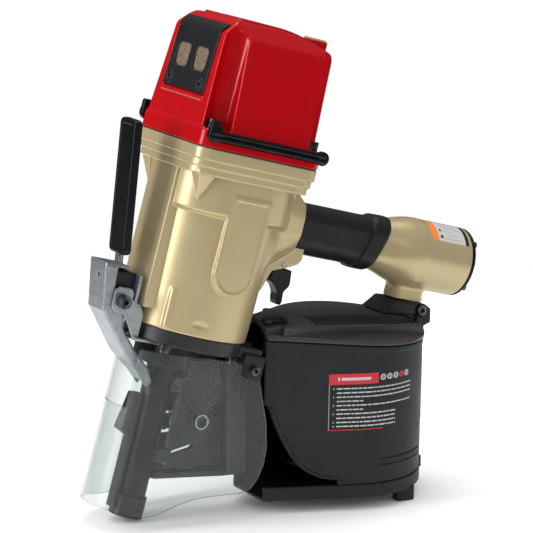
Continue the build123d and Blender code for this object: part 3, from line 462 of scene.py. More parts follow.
def f_cap(x, y, z):
    ay = np.abs(y)
    fl = smax(smax(rr(x - 13.75, y, 66.75, 68, 16), z - 383, 4.5), 366 - z, 1.0)
    t = np.clip((z - 383) / 88, 0, 1.25)
    d = rr(x - 13.0 - 0.5 * t, y, 65 - 4 * t, 64.5 - 6.5 * t, 13)
    side = ((ay - 57.6) * 14 + (z - 471) * 16) / 21.3
    front = ((-x - 47.3) * 14 + (z - 471) * 13) / 19.1
    slope = ((x - 29) * 10 + (z - 488) * 41) / 42.2
    back = ((x - 70) * 7 + (z - 478) * 4.5) / 8.32
    d = smax(d, smax(smax(side, front, 2.0), back, 3.0), 2.2)
    d = smax(d, smax(z - 485.6, slope + 2.2, 4.0), 1.8)
    top = smax(smax(rr(x - 18, y, 47.5, 36.0, 6), smax(z - 487.9, slope, 4.0), 1.8), 470 - z, 1)
    d = smin(d, smax(top, back + 0.6, 1.5), 1.4)
    for cx, cy in CORNERS:
        gx, gy, gr = (72.5, 57.5, 11.5) if cx > BX else (-38.0, 60.0, 13.2)
        g = np.hypot(x - gx, y - gy * np.sign(cy)) - gr
        d = smax(d, -smax(g, 381 - z, 1.0), 2.6)
    d = smax(d, 380 - z, 1)
    d = smin(d, fl, 2.2)
    # recess and lip round the exhaust cover
    d = cut(d, block(x, y, z, -70, -43.6, -40.4, 40.4, 410.6, 480.6, 0.5), 1.0)
    d = cut(d, block(x, y, z, -70, -38.7, -40.4, 40.4, 474.9, 480.6, 0.5), 0.8)
    d = smin(d, rod(x + 50.9, z - 407.2, y, 1.9, -40.5, 40.5, 1.4), 1.6)
    d = smin(d, block(x, y, z, 60, 77, -26, -6, 462, 484.8, 1.2), 1.2)
    # hollow
    d = cut(d, smax(rr(x - 15, y, 52, 50, 34), z - 404, 1), 1)
    d = cut(d, smax(np.hypot(x, y) - 41, z - 371.6, 0.5), 0.5)
    hol = smax(rr(x - 15, y, 48, 46, 30), span(z, 403, 464), 1)
    hol = cut(hol, np.hypot(x, y) - 22, 1)
    d = cut(d, hol, 1)
    d = cut(d, smax(np.hypot(x, y) - 16.1, span(z, 381, 432), 0.5), 0.5)
    for cx, cy in CORNERS:
        d = cut(d, smax(np.hypot(x - cx, y - cy) - 3.6, z - 384, 0.5), 0.5)
    return cut(d, smax(smax(span(x, -42, 86), 64.85 - ay, 0.4), span(z, 372.6, 386), 0.4), 0.4)


sculpt("cap_shell", f_cap, (-55, -69, 365.5), (82, 69, 488.5), 1.0, "T", "tool_body", M["red"], ["head_cap"])


def f_tab(x, y, z):
    return block(x, y, z, 61.0, 76.0, -25.0, -7.0, 484.2, 486.3, 0.6)


sculpt("cap_tab_pad", f_tab, (60, -26, 483.5), (77, -6, 487), 0.5, "T", "tool_body", M["beige"])

# ---------------------------------------------------------------- body casting
WEB = [(72, 232), (79, 240), (85.4, 259), (98, 263.5), (111.5, 269.3), (115.5, 274), (115.5, 290), (72, 300)]


def f_body(x, y, z):
    u = x - 15
    rad = np.hypot(u, y)
    low = 59 + 2.5 * (z - 188) / 118
    d = smax(rad - low, span(z, 188, 322), 1.4)
    sh = smax(rr(u, y, 62, 62, 44), span(z, 304, 343), 4.0)
    d = smin(d, sh, 3.0)
    d = smin(d, smax(rr(x - 13.9, y, 65.0, 66.0, 22), span(z, 340, 350), 1.0), 0.8)
    d = smin(d, smax(rr(x - 13.8, y, 65.85, 67.0, 19), span(z, 347, 356), 1.0), 0.8)
    d = smin(d, smax(rr(x - 13.75, y, 66.75, 68.0, 16), span(z, 354, 365), 1.0), 0.8)
    d = smin(d, block(x, y, z, -50, -20, -26, 26, 204, 341, 1.6), 1.0)
    for cx, cy in CORNERS:
        if cx > BX:
            continue
        px, py = x - (cx - 4 * np.sign(cx - BX)), y - (cy - 4 * np.sign(cy))
        w = 0.6 + (z - 316) * 0.34
        g = smax(smax(np.abs(px) - w, np.abs(py) - w, 1.0) * 0.94, span(z, 315, 343), 1.5)
        d = smin(d, g, 1.8)
    ay = np.abs(y)
    pad = np.minimum(rr(x - 17, z - 290, 22, 37, 5), np.hypot(x - 17, z - 253) - 22)
    d = smin(d, smax(pad, span(ay, 45, 62.8), 1.8), 1.4)
    inset = np.minimum(rr(x - 17, z - 290, 17.5, 32.5, 3), np.hypot(x - 17, z - 253) - 17.5)
    d = cut(d, smax(inset, 62.2 - ay, 0.6), 0.8)
    rib = smax(np.hypot(x + 28.5, y + 38.0) - 3.4, span(z, 189, 228), 3.0)
    d = smin(d, rib, 2.6)
    # dimple at the foot
    a, b, c = (x + 7) / 10.0, (y + 57.6) / 3.4, (z - 199) / 3.6
    d = cut(d, (np.sqrt(a * a + b * b + c * c) - 1) * 3.0, 1.6)
    # neck, grip core and reservoir
    t = np.clip((x - 56) / 47.7, 0, 1)
    tt = t ** 0.9
    nk = rr(y, z - (296 + 8.25 * tt), 37 - 17.5 * tt, 50 - 25.25 * tt, 27 - 10.5 * tt)
    nk = smin(nk * 0.9, smax(poly(x, z, [(40, 352), (77, 352), (103.6, 327.5), (106, 300), (40, 290)]), np.abs(y) - (33 - 15 * t), 7.0), 10.0)
    d = smin(d, smax(nk, span(x, 50, 103.7), 0.8), 9.0)
    d = smin(d, smax(rr(y, z - 304.25, 16, 21, 14), span(x, 80, 250), 0.5), 0.5)
    t = smooth01((x - 186) / 54.0)
    fl = rr(y, z - (303.75 - 1.25 * t), 18 + 16.5 * t, 23.5 + 11 * t, 16 + 18.4 * t)
    slant = ((x - 191.2) * -58 + (z - 276) * 17) / 60.4
    fl = smax(smax(fl * 0.9, span(x, 180, 244), 0.5), slant, 1.0)
    d = smin(d, fl, 0.8)
    d = smin(d, smax(np.hypot(y, z - 302.5) - 34.5, span(x, 240, 298), 1.2), 1.0)
    d = smin(d, smax(rr(x - 249, y, 18, 13, 8), span(z, 256, 284), 1.0), 4.0)
    d = smin(d, block(x, y, z, 253, 269, -8, 8, 242, 262, 2.5), 1.5)
    web = smax(poly(x, z, WEB), ay - 15, 2.2)
    d = smin(d, web, 2.5)
    # cast boss beside the trigger
    bs = smax(np.hypot(x - 77, z - 262) - 3.6, ay - 16.4, 1.0)
    d = smin(d, bs, 1.0)
    # hollows
    d = cut(d, smax(rad - 54, span(z, 196, 308), 0.5), 0.5)
    d = cut(d, smax(rr(u, y, 56, 56, 42), span(z, 306, 370), 0.5), 0.5)
    ring = smax(smax(rad - 55, span(z, 246, 254), 0.4), 38.8 - np.hypot(x, y), 0.4)
    d = smin(d, ring, 0.4)
    d = cut(d, smax(np.hypot(x, y) - 12, z - 200, 0.4), 0.4)
    d = cut(d, smax(np.hypot(y, z - 304.25) - 12, span(x, 40, 220), 0.4), 0.4)
    d = cut(d, smax(np.hypot(y, z - 302.5) - 26, span(x, 214, 310), 0.4), 0.4)
    for cx, cy in CORNERS:
        d = cut(d, smax(np.hypot(x - cx, y - cy) - 3.5, 346 - z, 0.3), 0.3)
    for cx in (53, -23):
        d = cut(d, smax(np.hypot(x - cx, ay - 38) - 3.6, z - 195, 0.3), 0.3)
    d = cut(d, block(x, y, z, 83, 120, -7.8, 7.8, 222, 273.6, 0.3), 0.6)
    d = cut(d, smax(np.hypot(x - 106, y) - 6.7, span(z, 270, 296), 0.3), 0.3)
    # room for the contact link at the top of its travel
    d = cut(d, smax(np.hypot(x - 75.6, y - 19.5) - 3.0, z - 259.4, 0.3), 0.4)
    d = cut(d, block(x, y, z, 74, 91.6, 14.6, 23, 238, 259.4, 0.3), 0.3)
    d = cut(d, block(x, y, z, 85, 91.6, 7, 23, 238, 259.4, 0.3), 0.3)
    d = smax(d, -smax(np.hypot(x - 96, z - 268) - 2.2, ay - 30, 0.3), 0.6)
    d = smax(d, -smax(np.hypot(x - 262, z - 250) - 3.2, ay - 30, 0.3), 0.6)
    return d


sculpt("casting_shell", f_body, (-54, -69, 187), (299, 69, 366), 1.15, "T", "tool_body", M["gold"], ["body_casting"])

# ------------------------------------------------------------------------ grip
def f_grip(x, y, z):
    s = x - (190.3 + (z - 276) * 17.0 / 58.0)
    k = smooth01((s + 19) / 2.2)
    c = smooth01((s + 34) / 30) * 0.9 + 2.3 * k
    d = rr(y, z - 304.25, 19.6 + c, 24.9 + c, 16.6 + c)
    d = smax(d * 0.92, (s - 0.2) * 0.95, 1.8)
    d = smax(d, 104.1 - x, 1.6)
    ay = np.abs(y)
    # long shallow crease on each side
    cr = np.hypot(np.hypot(y, 0) - 21.2 - c, (z - 316) - (x - 104) * 0.0) - 1.1
    d = cut(d, smax(cr, span(x, 116, 176), 3), 0.8)
    d = cut(d, smax(rr(y, z - 304.25, 16.2, 21.2, 14.2), span(x, 80, 240), 0.3), 0.5)
    d = cut(d, block(x, y, z, 100, 115.9, -15.4, 15.4, 268, 294, 0.4), 0.6)
    return d


sculpt("grip_skin", f_grip, (103, -24, 272), (210, 24, 336), 0.9, "T", "tool_body", M["rubber"], ["grip_sleeve"])

# ------------------------------------------------- exhaust cover and side strips
def f_vent(x, y, z):
    pts = [(-51.6, 411.0), (-43.7, 411.0), (-43.7, 475.3), (-39.0, 475.3), (-39.0, 480.1), (-41.5, 480.1), (-46.2, 475.5), (-48.2, 471.2)]
    d = smax(poly(x, z, pts), np.abs(y) - 39.9, 1.5)
    for s in (-29.5, 29.5):
        d = smin(d, smax(np.hypot(y - s, z - 419) - 6.0, span(x, -52.3, -46), 0.8), 0.8)
    d = cut(d, block(x, y, z, -46.3, -40, -31, 31, 425, 459.5, 0.3), 0.3)
    for y0 in (-17.5, 17.5):
        d = cut(d, smax(rr(y - y0, z - 442, 12, 11.25, 5), x + 40, 0.3), 0.9)
    for s in (-29.5, 29.5):
        d = cut(d, smax(np.hypot(y - s, z - 419) - 2.1, x + 30, 0.3), 0.4)
        d = cut(d, smax(np.hypot(y - s, z - 419) - 4.6, x + 47.7, 0.3), 0.7)
    return d


sculpt("vent_cover", f_vent, (-53.5, -41, 410), (-38, 41, 481), 0.75, "T", "tool_body", M["plastic"], ["exhaust_cover"])


def woven(name, y0, z0, hy, hz, x, pitch, r, body, mat):
    verts, faces = [], []
    n = 6

    def tube(pts, up):
        base = len(verts)
        for i, p in enumerate(pts):
            for k in range(n):
                a = 2 * math.pi * k / n
                q = p + up[0] * (r * math.cos(a)) + up[1] * (r * math.sin(a))
                verts.append(q)
        for i in range(len(pts) - 1):
            for k in range(n):
                a, b = base + i * n + k, base + i * n + (k + 1) % n
                faces.append([a, b, b + n, a + n])
        faces.append([base + k for k in range(n)][::-1])
        faces.append([base + (len(pts) - 1) * n + k for k in range(n)])

    ny, nz = int(2 * hy / pitch), int(2 * hz / pitch)
    for i in range(ny + 1):
        yy = y0 - hy + i * 2 * hy / ny
        pts = [np.array([x + 0.28 * math.cos(math.pi * (j / 2.0 + i)), yy, z0 - hz + j * hz / nz]) for j in range(2 * nz + 1)]
        tube(pts, (np.array([1.0, 0, 0]), np.array([0, 1.0, 0])))
    for i in range(nz + 1):
        zz = z0 - hz + i * 2 * hz / nz
        pts = [np.array([x - 0.28 * math.cos(math.pi * (j / 2.0 + i)), y0 - hy + j * hy / ny, zz]) for j in range(2 * ny + 1)]
        tube(pts, (np.array([0, 0, 1.0]), np.array([1.0, 0, 0])))
    return mesh_object(name, to_row(np.array(verts), "T"), faces, body, [mat])


for tag, yy in (("near", -17.5), ("far", 17.5)):
    woven(f"vent_mesh_{tag}", yy, 442, 11.7, 11.0, -48.0, 1.45, 0.27, "tool_body", M["wire"])


def f_strip(x, y, z):
    ay = np.abs(y)
    d = block(x, ay, z, -44.5, 75, 65.1, 70.8, 373.2, 382.8, 1.4)
    for zz in (375.5, 380.5):
        d = smin(d, rod(ay - 70.7, z - zz, x, 2.3, -47, 77, 0.5), 0.5)
    d = smin(d, smax(np.hypot(x - 75, z - 378) - 6.8, span(ay, 65.1, 71.9), 1.6), 0.8)
    d = smin(d, smax(np.hypot(x + 44.5, z - 378) - 6.8, span(ay, 65.1, 71.9), 1.6), 1.5)
    d = smin(d, block(x, ay, z, -51, -38, 65.1, 71.9, 378, 391, 2.2), 1.5)
    return cut(d, block(x, ay, z, -41.9, -34, 62, 75, 386.2, 400, 1.0), 1.2)


sculpt("side_strip_near", lambda x, y, z: smax(f_strip(x, y, z), y, 0.5), (-53, -73.6, 370), (83, -64.4, 392), 0.7, "T", "tool_body", M["rubber_smooth"],
       ["side_strip_left"])
sculpt("side_strip_far", lambda x, y, z: smax(f_strip(x, y, z), -y, 0.5), (-53, 64.4, 370), (83, 73.6, 392), 0.7, "T", "tool_body", M["rubber_smooth"],
       ["side_strip_right"])

# ----------------------------------------------------------------- front lever
LEV = [(-94, 237.6), (-94, 234), (-85.5, 192), (-51, 153), (-29, 137.5), (-17.5, 126.5), (-12.5, 133), (-22, 145), (-44, 163), (-60, 180), (-62, 196),
       (-62, 212), (-78, 214.3), (-80, 235), (-66, 235.1), (-66, 237.6)]
LEV_IN = [(-91.3, 234.9), (-83.0, 193.3), (-49.4, 155.1), (-27.3, 140.0), (-10, 124), (30, 120), (30, 234.9)]


def f_lever(x, y, z):
    ay = np.abs(y)
    w = 17.4 - 4.5 * smooth01((150 - z) / 18)
    d = smax(poly(x, z, LEV) + 0.0, ay - w, 3.2)
    inn = smax(poly(x, z, LEV_IN), ay - (w - 2.6), 1.8)
    d = cut(d, inn, 0.6)
    # tang that carries the grip pad
    a = math.radians(9.5)
    dx, dz = x + 72.4, z - 236.4
    px, pz = dx * math.cos(a) + dz * math.sin(a), -dx * math.sin(a) + dz * math.cos(a)
    ta = smax(rr(px, y, 1.3, 7, 0.8), span(pz, -1.0, 41.9), 0.5)
    ta = cut(ta, smax(rr(y, pz - 3.5, 2.2, 5, 2), np.abs(px) - 3, 0.3), 0.4)
    d = smin(d, ta, 1.2)
    d = smax(d, -smax(np.hypot(x + 70, z - 205) - 4.1, ay - 40, 0.3), 0.4)
    d = smax(d, -smax(np.hypot(y + 2, z - 224) - 2.1, x + 80, 0.3), 0.5)
    # room for the contact arm at the top of its travel
    d = cut(d, block(x, y, z, -34, 0, -7.8, 7.8, 100, 131.7, 0.6), 0.5)
    return d


sculpt("lever_frame", f_lever, (-96, -18.5, 124), (-10, 18.5, 282), 0.8, "T", "front_lever", M["zinc"], ["front_lever"])


def f_pad(x, y, z):
    a = math.radians(9.5)
    dx, dz = x + 72.4, z - 236.4
    px, pz = dx * math.cos(a) + dz * math.sin(a), -dx * math.sin(a) + dz * math.cos(a)
    d = smax(rr(y, pz - 74.5, 16, 64, 5.5), np.abs(px) - 4.4, 2.8)
    d = cut(d, smax(rr(y, pz - 74.5, 11.4, 59, 4), px + 3.9, 0.4), 0.9)
    return cut(d, smax(smax(np.abs(px) - 1.4, np.abs(y) - 7.1, 0.2), pz - 42.2, 0.2), 0.2)


sculpt("lever_pad", f_pad, (-112, -17.5, 240), (-60, 17.5, 386), 0.8, "T", "front_lever", M["rubber_smooth"], ["lever_grip"])

# -------------------------------------------------------------------- canister
def dome(e):
    return 158 + 13.3 * (1 - np.exp(-np.maximum(e, 0) / 17.0))


def f_lid(x, y, z):
    d2 = hull(x, y, 80.5, 29.5)
    out = smax(smax(d2, 152.2 - z, 0.8), (z - dome(-d2)) * 0.85, 1.6)
    # low shelf along the near side, the trough behind the bar and the catch's seat
    out = cut(out, smax(y + 44.0, (158.0 + (y + 44) * 0.088) - z, 0.8), 1.4)
    trough = smax(smax(span(y, -44.5, -18.0), 162.0 - z, 1.0), smax(x - 303, (178 - x) + (171 - z) * 0.5, 2.0), 2.0)
    out = cut(out, trough, 1.6)
    out = cut(out, smax(np.minimum(np.hypot(x - 134, y + 34) - 9, rr(x - 144, y + 34, 10, 7, 1)), 166.6 - z, 0.3), 0.8)
    bar = smax(block(x, y, z, 140.6, 300, -52, -44, 153, 166.3, 1.5), hull(x, y, 80.2, 29.2), 0.8)
    bar = smax(bar, (142.5 - x) + (166 - z) * -0.0 - 1.5, 2.5)
    out = smin(out, bar, 0.9)
    out = cut(out, np.sqrt((x - 147.5) ** 2 + (y + 52.2) ** 2 + (z - 161.8) ** 2) - 1.3, 0.4)
    hol = smax(hull(x, y, 75, 24), z - (dome(-d2 - 4) - 3.6), 0.8)
    hol = cut(hol, block(x, y, z, 100, 340, -95, -42, 153.8, 190, 0.5), 0.5)
    hol = cut(hol, block(x, y, z, 172, 306, -46.5, -15.5, 159, 190, 0.5), 0.5)
    hol = cut(hol, block(x, y, z, 120, 156, -43, -25, 163, 190, 0.5), 0.5)
    out = cut(out, hol, 0.5)
    for xk, yk in ((232, 72), (180, 50), (296, 44)):
        bs = smax(np.hypot(x - xk, y - yk) - 4.6, span(z, 153, 162), 0.6)
        bs = smax(bs, hull(x, y, 80.3, 29.3), 0.4)
        out = smin(out, bs, 0.8)
        out = cut(out, smax(np.hypot(x - xk, y - yk) - 3.9, 159 - z, 0.3), 0.4)
        out = cut(out, np.hypot(x - xk, y - yk) - 1.9, 0.3)
    out = smax(out, 126.1 - x, 1.0)
    return cut(out, np.hypot(x - 134, y + 34) - 2.1, 0.3)


sculpt("canister_lid", f_lid, (125, -82, 151), (321, 82, 173), 1.0, "L", "tool_body", M["lid"], ["magazine_lid"])
CUTOUT = [(90, 104), (129, 104), (131, 98), (136, 84), (143, 68), (151, 52.6), (158, 43), (168, 35), (180, 29), (196, 26.5), (196, 10), (90, 10)]


def f_door(x, y, z):
    w = hull(x, y, 79, 28)
    zl = 152 + (x - 318) * SL + (z - 152) * CL
    d = smax(smax(w, -3.0 - w, 0.8), smax(22.45 - z, zl - 151.1, 0.5), 0.9)
    # two low ridges at the rear foot and a rim along the top
    for zz in (38.5, 45.0):
        rg = smax(smax(w - 0.75, -2 - w, 0.3), np.abs(z - zz) - 1.1, 0.9)
        d = smin(d, smax(smax(rg, 236 - x, 1.5), x - 296, 1.5), 0.5)
    rim = smax(smax(w - 0.6, -2 - w, 0.3), span(zl, 146.0, 151.1), 0.8)
    d = smin(d, rim, 0.5)
    cu = poly(x, z, CUTOUT)
    edge = smax(smax(smax(w - 0.7, -2.4 - w, 0.3), cu - 3.4, 0.6), -(cu - 0.6), 0.6)
    d = smin(d, smax(edge, span(z, 22.45, 103), 0.5), 0.6)
    d = cut(d, smax(cu, y + 10, 0.3), 0.8)
    d = smax(d, y + 14.4, 0.6)
    d = smax(d, 126.1 - x, 0.8)
    hx, hy = x - 319.8, y + 14
    d = cut(d, smax(np.hypot(hx, hy) - 4.4, -span(z, 86, 112), 0.2), 0.3)
    kn = np.minimum(smax(np.hypot(hx, hy) - 3.8, span(z, 86.1, 111.9), 0.4), block(x, y, z, 311, 319.8, -17.8, -14.4, 86.1, 111.9, 0.3))
    return cut(smin(d, kn, 0.6), np.hypot(hx, hy) - 1.6, 0.2)


sculpt("canister_door_shell", f_door, (125, -80.6, 21.5), (324.5, -9.5, 169.5), 1.0, "S", "canister_door", M["canister"],
       ["magazine_door"])


def f_base(x, y, z):
    o = hull(x, y, 79.5, 28.5)
    d = smax(o, span(z, 8, 22), 2.2)
    d = cut(d, smax(hull(x, y, 76.6, 25.6), 11 - z, 0.5), 0.5)
    ay = np.abs(y)
    d = smin(d, smax(rr(x - 276, ay - 62, 10, 6.5, 4), span(z, -4.29, 9.5), 0.6), 1.0)
    d = smin(d, block(x, y, z, 312, 330, -9, 9, 8, 11, 1.0), 0.6)
    d = smin(d, block(x, y, z, 318.6, 330, -9, 9, 8, 20, 1.2), 0.6)
    d = smin(d, smax(np.hypot(x - 239, y) - 14, span(z, 9, 16), 0.5), 0.5)
    d = smax(d, 126.1 - x, 1.0)
    d = cut(d, np.hypot(x - 239, y) - 4.2, 0.3)
    for xk, yk in ((232, 72), (180, 50), (296, 44)):
        d = cut(d, np.hypot(x - xk, y - yk) - 1.9, 0.2)
    return d


sculpt("canister_base", f_base, (125, -80.5, -5), (331, 80.5, 22.5), 1.0, "S", "tool_body", M["canister"], ["magazine_base"])
soften("canister_rear_wall", "magazine_body", "tool_body", M["canister"], 1.1, 1)
for node in ("nail_platform", "magazine_post"):
    NODES[node].data.materials[0] = M["canister_inner"]


# ---------------------------------------------------------------------- labels
def patches(name, surf, rects, body, mats, space, lift=0.10, du=1.5):
    """Thin printed areas: rects are (u0, u1, v0, v1, material, level) on the mapped surface surf(u, v, height)."""
    verts, faces, mi = [], [], []
    for u0, u1, v0, v1, m, lev in rects:
        n = max(1, int(math.ceil(abs(u1 - u0) / du)))
        hi_, lo_ = lift + 0.05 * lev, -0.25
        base = len(verts)
        for i in range(n + 1):
            u = u0 + (u1 - u0) * i / n
            for v, h in ((v0, hi_), (v1, hi_), (v1, lo_), (v0, lo_)):
                verts.append(surf(u, v, h))
        for i in range(n):
            a = base + 4 * i
            for k in range(4):
                b, c = a + k, a + (k + 1) % 4
                faces.append([b, b + 4, c + 4, c])
                mi.append(m)
        faces.append([base, base + 1, base + 2, base + 3])
        e = base + 4 * n
        faces.append([e + 3, e + 2, e + 1, e])
        mi += [m, m]
    o = mesh_object(name, to_row(np.array(verts), space), faces, body, mats, None, mi, smooth=False)
    bm = bmesh.new()
    bm.from_mesh(o.data)
    bmesh.ops.recalc_face_normals(bm, faces=bm.faces)
    bm.to_mesh(o.data)
    bm.free()
    return o


TURN = math.radians(-108.1)


def door_surf(u, v, h):
    """Arc length u round the door: an arc of radius 79, then the flat tangent to it."""
    a = u / 79.0
    if a >= TURN:
        return (239 + (79 + h) * math.cos(a), (79 + h) * math.sin(a), v)
    k = (TURN - a) * 79.0
    return (239 + (79 + h) * math.cos(TURN) - 0.9504 * k, (79 + h) * math.sin(TURN) + 0.311 * k, v)


U0, U1, UH = -179.4, -87.0, -129.6
rects = [(U0, UH, 122.6, 133.2, 0, 0)]
rects += [(U0, U0 + 0.7, 77.4, 122.4, 2, 0), (U0, UH + 6, 76.8, 77.6, 0, 0)]
rects += [(U0 + 9.0, U0 + 10.6, 126.2, 129.8, 1, 1), (U0 + 12.5, UH - 8, 126.6, 129.4, 1, 1)]
rng = np.random.default_rng(7)
lines = [118.6, 114.4, 110.2, 106.0, 101.8, 97.6, 93.4, 89.2, 85.0, 81.0]
numbered = (0, 2, 4, 6, 8, 9)
for i, v in enumerate(lines):
    if i in numbered:
        rects.append((U0 + 4.5, U0 + 5.4, v - 0.7, v + 0.7, 1, 0))
    u = U0 + 8.0
    end = U1 - (0 if i in (0, 1, 2, 4) else (58 if i in (3, 5) else 22))
    while u < end:
        w = float(rng.uniform(2.2, 7.5))
        rects.append((u, min(u + w, end), v - 0.62, v + 0.62, 1, 0))
        u += w + 0.9
# small round marks beside the header, drawn as rings of short bars
for k in range(5):
    uc = UH + 5.2 + k * 7.6
    n = 14
    for j in range(n):
        a = 2 * math.pi * j / n
        vv, uu = 128.2 + 2.4 * math.sin(a), uc + 2.4 * math.cos(a)
        rects.append((uu - 0.7, uu + 0.7, vv - 0.6, vv + 0.6, 0 if k == 3 else 1, j % 2))
    rects.append((uc - 0.9, uc + 0.9, 127.3, 129.1, 0 if k == 3 else 2, 1))
patches("door_label", door_surf, rects, "canister_door", [M["print_red"], M["print_white"], M["print_grey"]], "S")


def drum_surf(u, v, h):
    a = v / 34.5
    return (u, -(34.5 + h) * math.cos(a), 302.5 + (34.5 + h) * math.sin(a))


def drum_patches():
    V = lambda deg: math.radians(deg) * 34.5
    rects = []
    v0, v1 = V(35), V(84)

    def area(u0, u1, a0, a1, m, lev):
        n = max(1, int((a1 - a0) / 2.0))
        for i in range(n):
            rects.append((u0, u1, a0 + (a1 - a0) * i / n, a0 + (a1 - a0) * (i + 1) / n, m, lev))

    area(249, 257, v0, v1, 0, 0)
    area(257, 289.5, v0, v1, 1, 0)
    area(289.5, 293.5, v0, v1, 2, 0)
    for i in range(7):
        vv = v0 + 3.5 + i * 4.4
        area(262 + (i % 2) * 4, 286 - (i % 3) * 5, vv, vv + 0.8, 3, 1)
    area(259.5, 262.5, v0 + 3.5, v0 + 7.0, 2, 1)
    area(259.5, 262.0, v0 + 12.0, v0 + 15.0, 2, 1)
    return rects


patches("tank_label", drum_surf, drum_patches(), "tool_body", [M["print_orange"], M["print_white"], M["print_black"], M["print_grey"]], "T", lift=0.12,
        du=50)

# ------------------------------------------------- softened castings and sheets
for node, name, body, mat, slot, vox, rounds in (
        ("nose_body", "nose_casting", "tool_body", "dark", "dark_steel", 0.75, 3),
        ("feed_door", "feed_door_plate", "feed_door", "dark", "dark_steel", 0.6, 3),
        ("nose_flange", "flange_casting", "tool_body", "dark_flange", "dark_steel", 0.8, 2),
        ("contact_arm", "contact_arm_casting", "contact_arm", "dark", "dark_steel", 0.55, 2),
        ("lever_bracket", "lever_bracket_sheet", "tool_body", "zinc", "galvanised", 0.55, 3),
        ("spring_housing", "spring_housing_moulding", "tool_body", "plastic", "black_plastic", 0.55, 3),
        ("rear_bracket", "rear_bracket_moulding", "tool_body", "plastic", "black_plastic", 0.8, 9),
        ("magazine_throat", "throat_casting", "tool_body", "dark_flange", "black_plastic", 0.7, 2),
        ("trigger", "trigger_moulding", "trigger", "plastic", "black_plastic", 0.5, 9),
        ("end_cap", "end_cap_moulding", "tool_body", "rubber_smooth", "black_plastic", 0.7, 3),
        ("shield_clamps", "shield_clamp_set", "tool_body", "plastic", "black_plastic", 0.5, 3),
        ("magazine_catch", "canister_catch_moulding", "canister_catch", "plastic", "black_plastic", 0.45, 2),
        ("feed_cylinder", "feed_cylinder_casting", "tool_body", "dark", "dark_steel", 0.6, 3)):
    soften(name, node, body, M[mat], vox, rounds)

# ------------------------------------------------ shield rim and the latch's ring
def rim_sheet():
    m = bpy.data.materials.new("polycarbonate_cut_edge")
    m.use_nodes = True
    nt = m.node_tree
    nt.nodes.clear()
    N, L = nt.nodes.new, nt.links.new
    out, mx, tr, gl = N("ShaderNodeOutputMaterial"), N("ShaderNodeMixShader"), N("ShaderNodeBsdfTransparent"), N("ShaderNodeBsdfPrincipled")
    gl.inputs["Roughness"].default_value = 0.25
    tc, ns, cr = N("ShaderNodeTexCoord"), N("ShaderNodeTexNoise"), N("ShaderNodeValToRGB")
    ns.inputs["Scale"].default_value = 60
    cr.color_ramp.elements[0].color = (0.050, 0.042, 0.055, 1)
    cr.color_ramp.elements[1].color = (0.085, 0.080, 0.090, 1)
    L(tc.outputs["Object"], ns.inputs["Vector"])
    L(ns.outputs["Fac"], cr.inputs[0])
    L(cr.outputs[0], gl.inputs["Base Color"])
    mx.inputs[0].default_value = 0.62
    L(tr.outputs[0], mx.inputs[1])
    L(gl.outputs[0], mx.inputs[2])
    L(mx.outputs[0], out.inputs[0])
    return m


src = NODES["shield"].data
bvh = BVHTree.FromPolygons([v.co for v in src.vertices], [tuple(q.vertices) for q in src.polygons])
rim_v, rim_f = [], []
for q in src.polygons:
    hit = bvh.ray_cast(q.center - q.normal * 1e-5, -q.normal)
    if q.area > 1e-9 and (hit[3] is None or hit[3] > 0.0032):
        rim_f.append(tuple(range(len(rim_v), len(rim_v) + len(q.vertices))))
        rim_v += [tuple(src.vertices[i].co + q.normal * 0.00005) for i in q.vertices]
me = bpy.data.meshes.new("shield_rim")
me.from_pydata(rim_v, [], rim_f)
me.materials.append(rim_sheet())
bm = bmesh.new()
bm.from_mesh(me)
bmesh.ops.remove_doubles(bm, verts=bm.verts, dist=0.00002)
bm.to_mesh(me)
bm.free()
print("shield rim faces", len(me.polygons), "of", len(src.polygons), "area mm2", sum(q.area for q in me.polygons) * 1e6)
rim = bpy.data.objects.new("shield_rim", me)
bpy.context.scene.collection.objects.link(rim)
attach(rim, "tool_body")

NODES["door_latch"].data.materials[0] = M["dark"]


def f_ring(x, y, z):
    return smax(np.abs(np.hypot(x - 49, z - 103) - 6.7) - 0.75, span(y, -16.2, -15.1), 0.3)


sculpt("door_latch_ring", f_ring, (40, -17.5, 94), (58, -14, 112), 0.35, "T", "door_latch", M["bright"])

# ------------------------------------------------------- camera, floor and light
F, SC = 3000.0, 0.96
az, el, roll = (math.radians(v) for v in (-31.6, 4.8, 14.05))
back = np.array([math.sin(az) * math.cos(el), -math.cos(az) * math.cos(el), math.sin(el)])
right = np.array([math.cos(az), math.sin(az), 0.0])
up = np.cross(back, right)
r2 = math.cos(roll) * right + math.sin(roll) * up
u2 = -math.sin(roll) * right + math.cos(roll) * up
C0 = np.array([(125 - 266.5) * SC, (514.5 - 266.5) * SC, F * SC])
R = np.stack([r2, -u2, -back])
eye = to_row(-R.T @ C0, "T")
rx, ux, bk = turn_row(r2, "T"), turn_row(u2, "T"), turn_row(back, "T")
cam = bpy.data.cameras.new("camera")
cam.sensor_width = 36.0
cam.lens = 36.0 * F / 533.0
cam.clip_start, cam.clip_end = 0.05, 60.0
co = bpy.data.objects.new("camera", cam)
bpy.context.scene.collection.objects.link(co)
mw = Matrix.Identity(4)
for i in range(3):
    mw[i][0], mw[i][1], mw[i][2], mw[i][3] = rx[i], ux[i], bk[i], eye[i]
co.matrix_world = mw
bpy.context.scene.camera = co

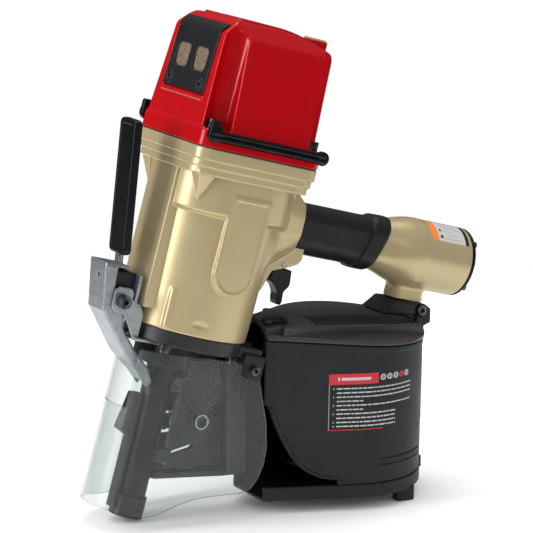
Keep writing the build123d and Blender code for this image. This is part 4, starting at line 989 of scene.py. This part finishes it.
me = bpy.data.meshes.new("floor")
me.from_pydata([(1.1 * math.cos(math.pi * k / 48), 1.1 * math.sin(math.pi * k / 48), 0) for k in range(96)], [], [tuple(range(96))])
floor = bpy.data.objects.new("floor", me)
bpy.context.scene.collection.objects.link(floor)
fm = material("floor_pale", (0.93, 0.93, 0.93), 0.75, vary=0.004, bump=0.0, spec=0.2)
me.materials.append(fm)
floor.location.z = -0.0005

world = bpy.data.worlds.new("studio")
bpy.context.scene.world = world
world.use_nodes = True
nt = world.node_tree
nt.nodes.clear()
N, L = nt.nodes.new, nt.links.new
wo, bg = N("ShaderNodeOutputWorld"), N("ShaderNodeBackground")
tc, sp, rp = N("ShaderNodeTexCoord"), N("ShaderNodeSeparateXYZ"), N("ShaderNodeValToRGB")
L(tc.outputs["Generated"], sp.inputs[0])
L(sp.outputs[2], rp.inputs[0])
rp.color_ramp.elements[0].position = 0.0
rp.color_ramp.elements[0].color = (0.03, 0.03, 0.03, 1)
rp.color_ramp.elements[1].position = 0.85
rp.color_ramp.elements[1].color = (0.24, 0.24, 0.24, 1)
lp, mx = N("ShaderNodeLightPath"), N("ShaderNodeMix")
mx.data_type = "RGBA"
mx.inputs[6].default_value = (1.0, 1.0, 1.0, 1)
L(lp.outputs["Is Glossy Ray"], mx.inputs[0])
L(rp.outputs[0], mx.inputs[7])
L(mx.outputs[2], bg.inputs[0])
bg.inputs[1].default_value = 1.0
L(bg.outputs[0], wo.inputs[0])


def softbox(name, loc, target, sx, sy, power):
    li = bpy.data.lights.new(name, "AREA")
    li.shape, li.size, li.size_y, li.energy = "RECTANGLE", sx, sy, power
    o = bpy.data.objects.new(name, li)
    o.location = loc
    o.rotation_euler = (Vector(target) - Vector(loc)).to_track_quat("-Z", "Y").to_euler()
    bpy.context.scene.collection.objects.link(o)
    return o


softbox("key", (-2.4, 0.25, 1.0), (0, 0, 0.25), 0.8, 1.8, 40)
softbox("fill", (-0.6, -2.6, 1.7), (0, 0, 0.25), 1.0, 0.8, 6)
softbox("top", (0.2, 0.4, 2.2), (0, 0, 0.3), 1.6, 1.2, 20)
sc = bpy.context.scene
sc.view_settings.view_transform = "Standard"
sc.view_settings.look = "None"
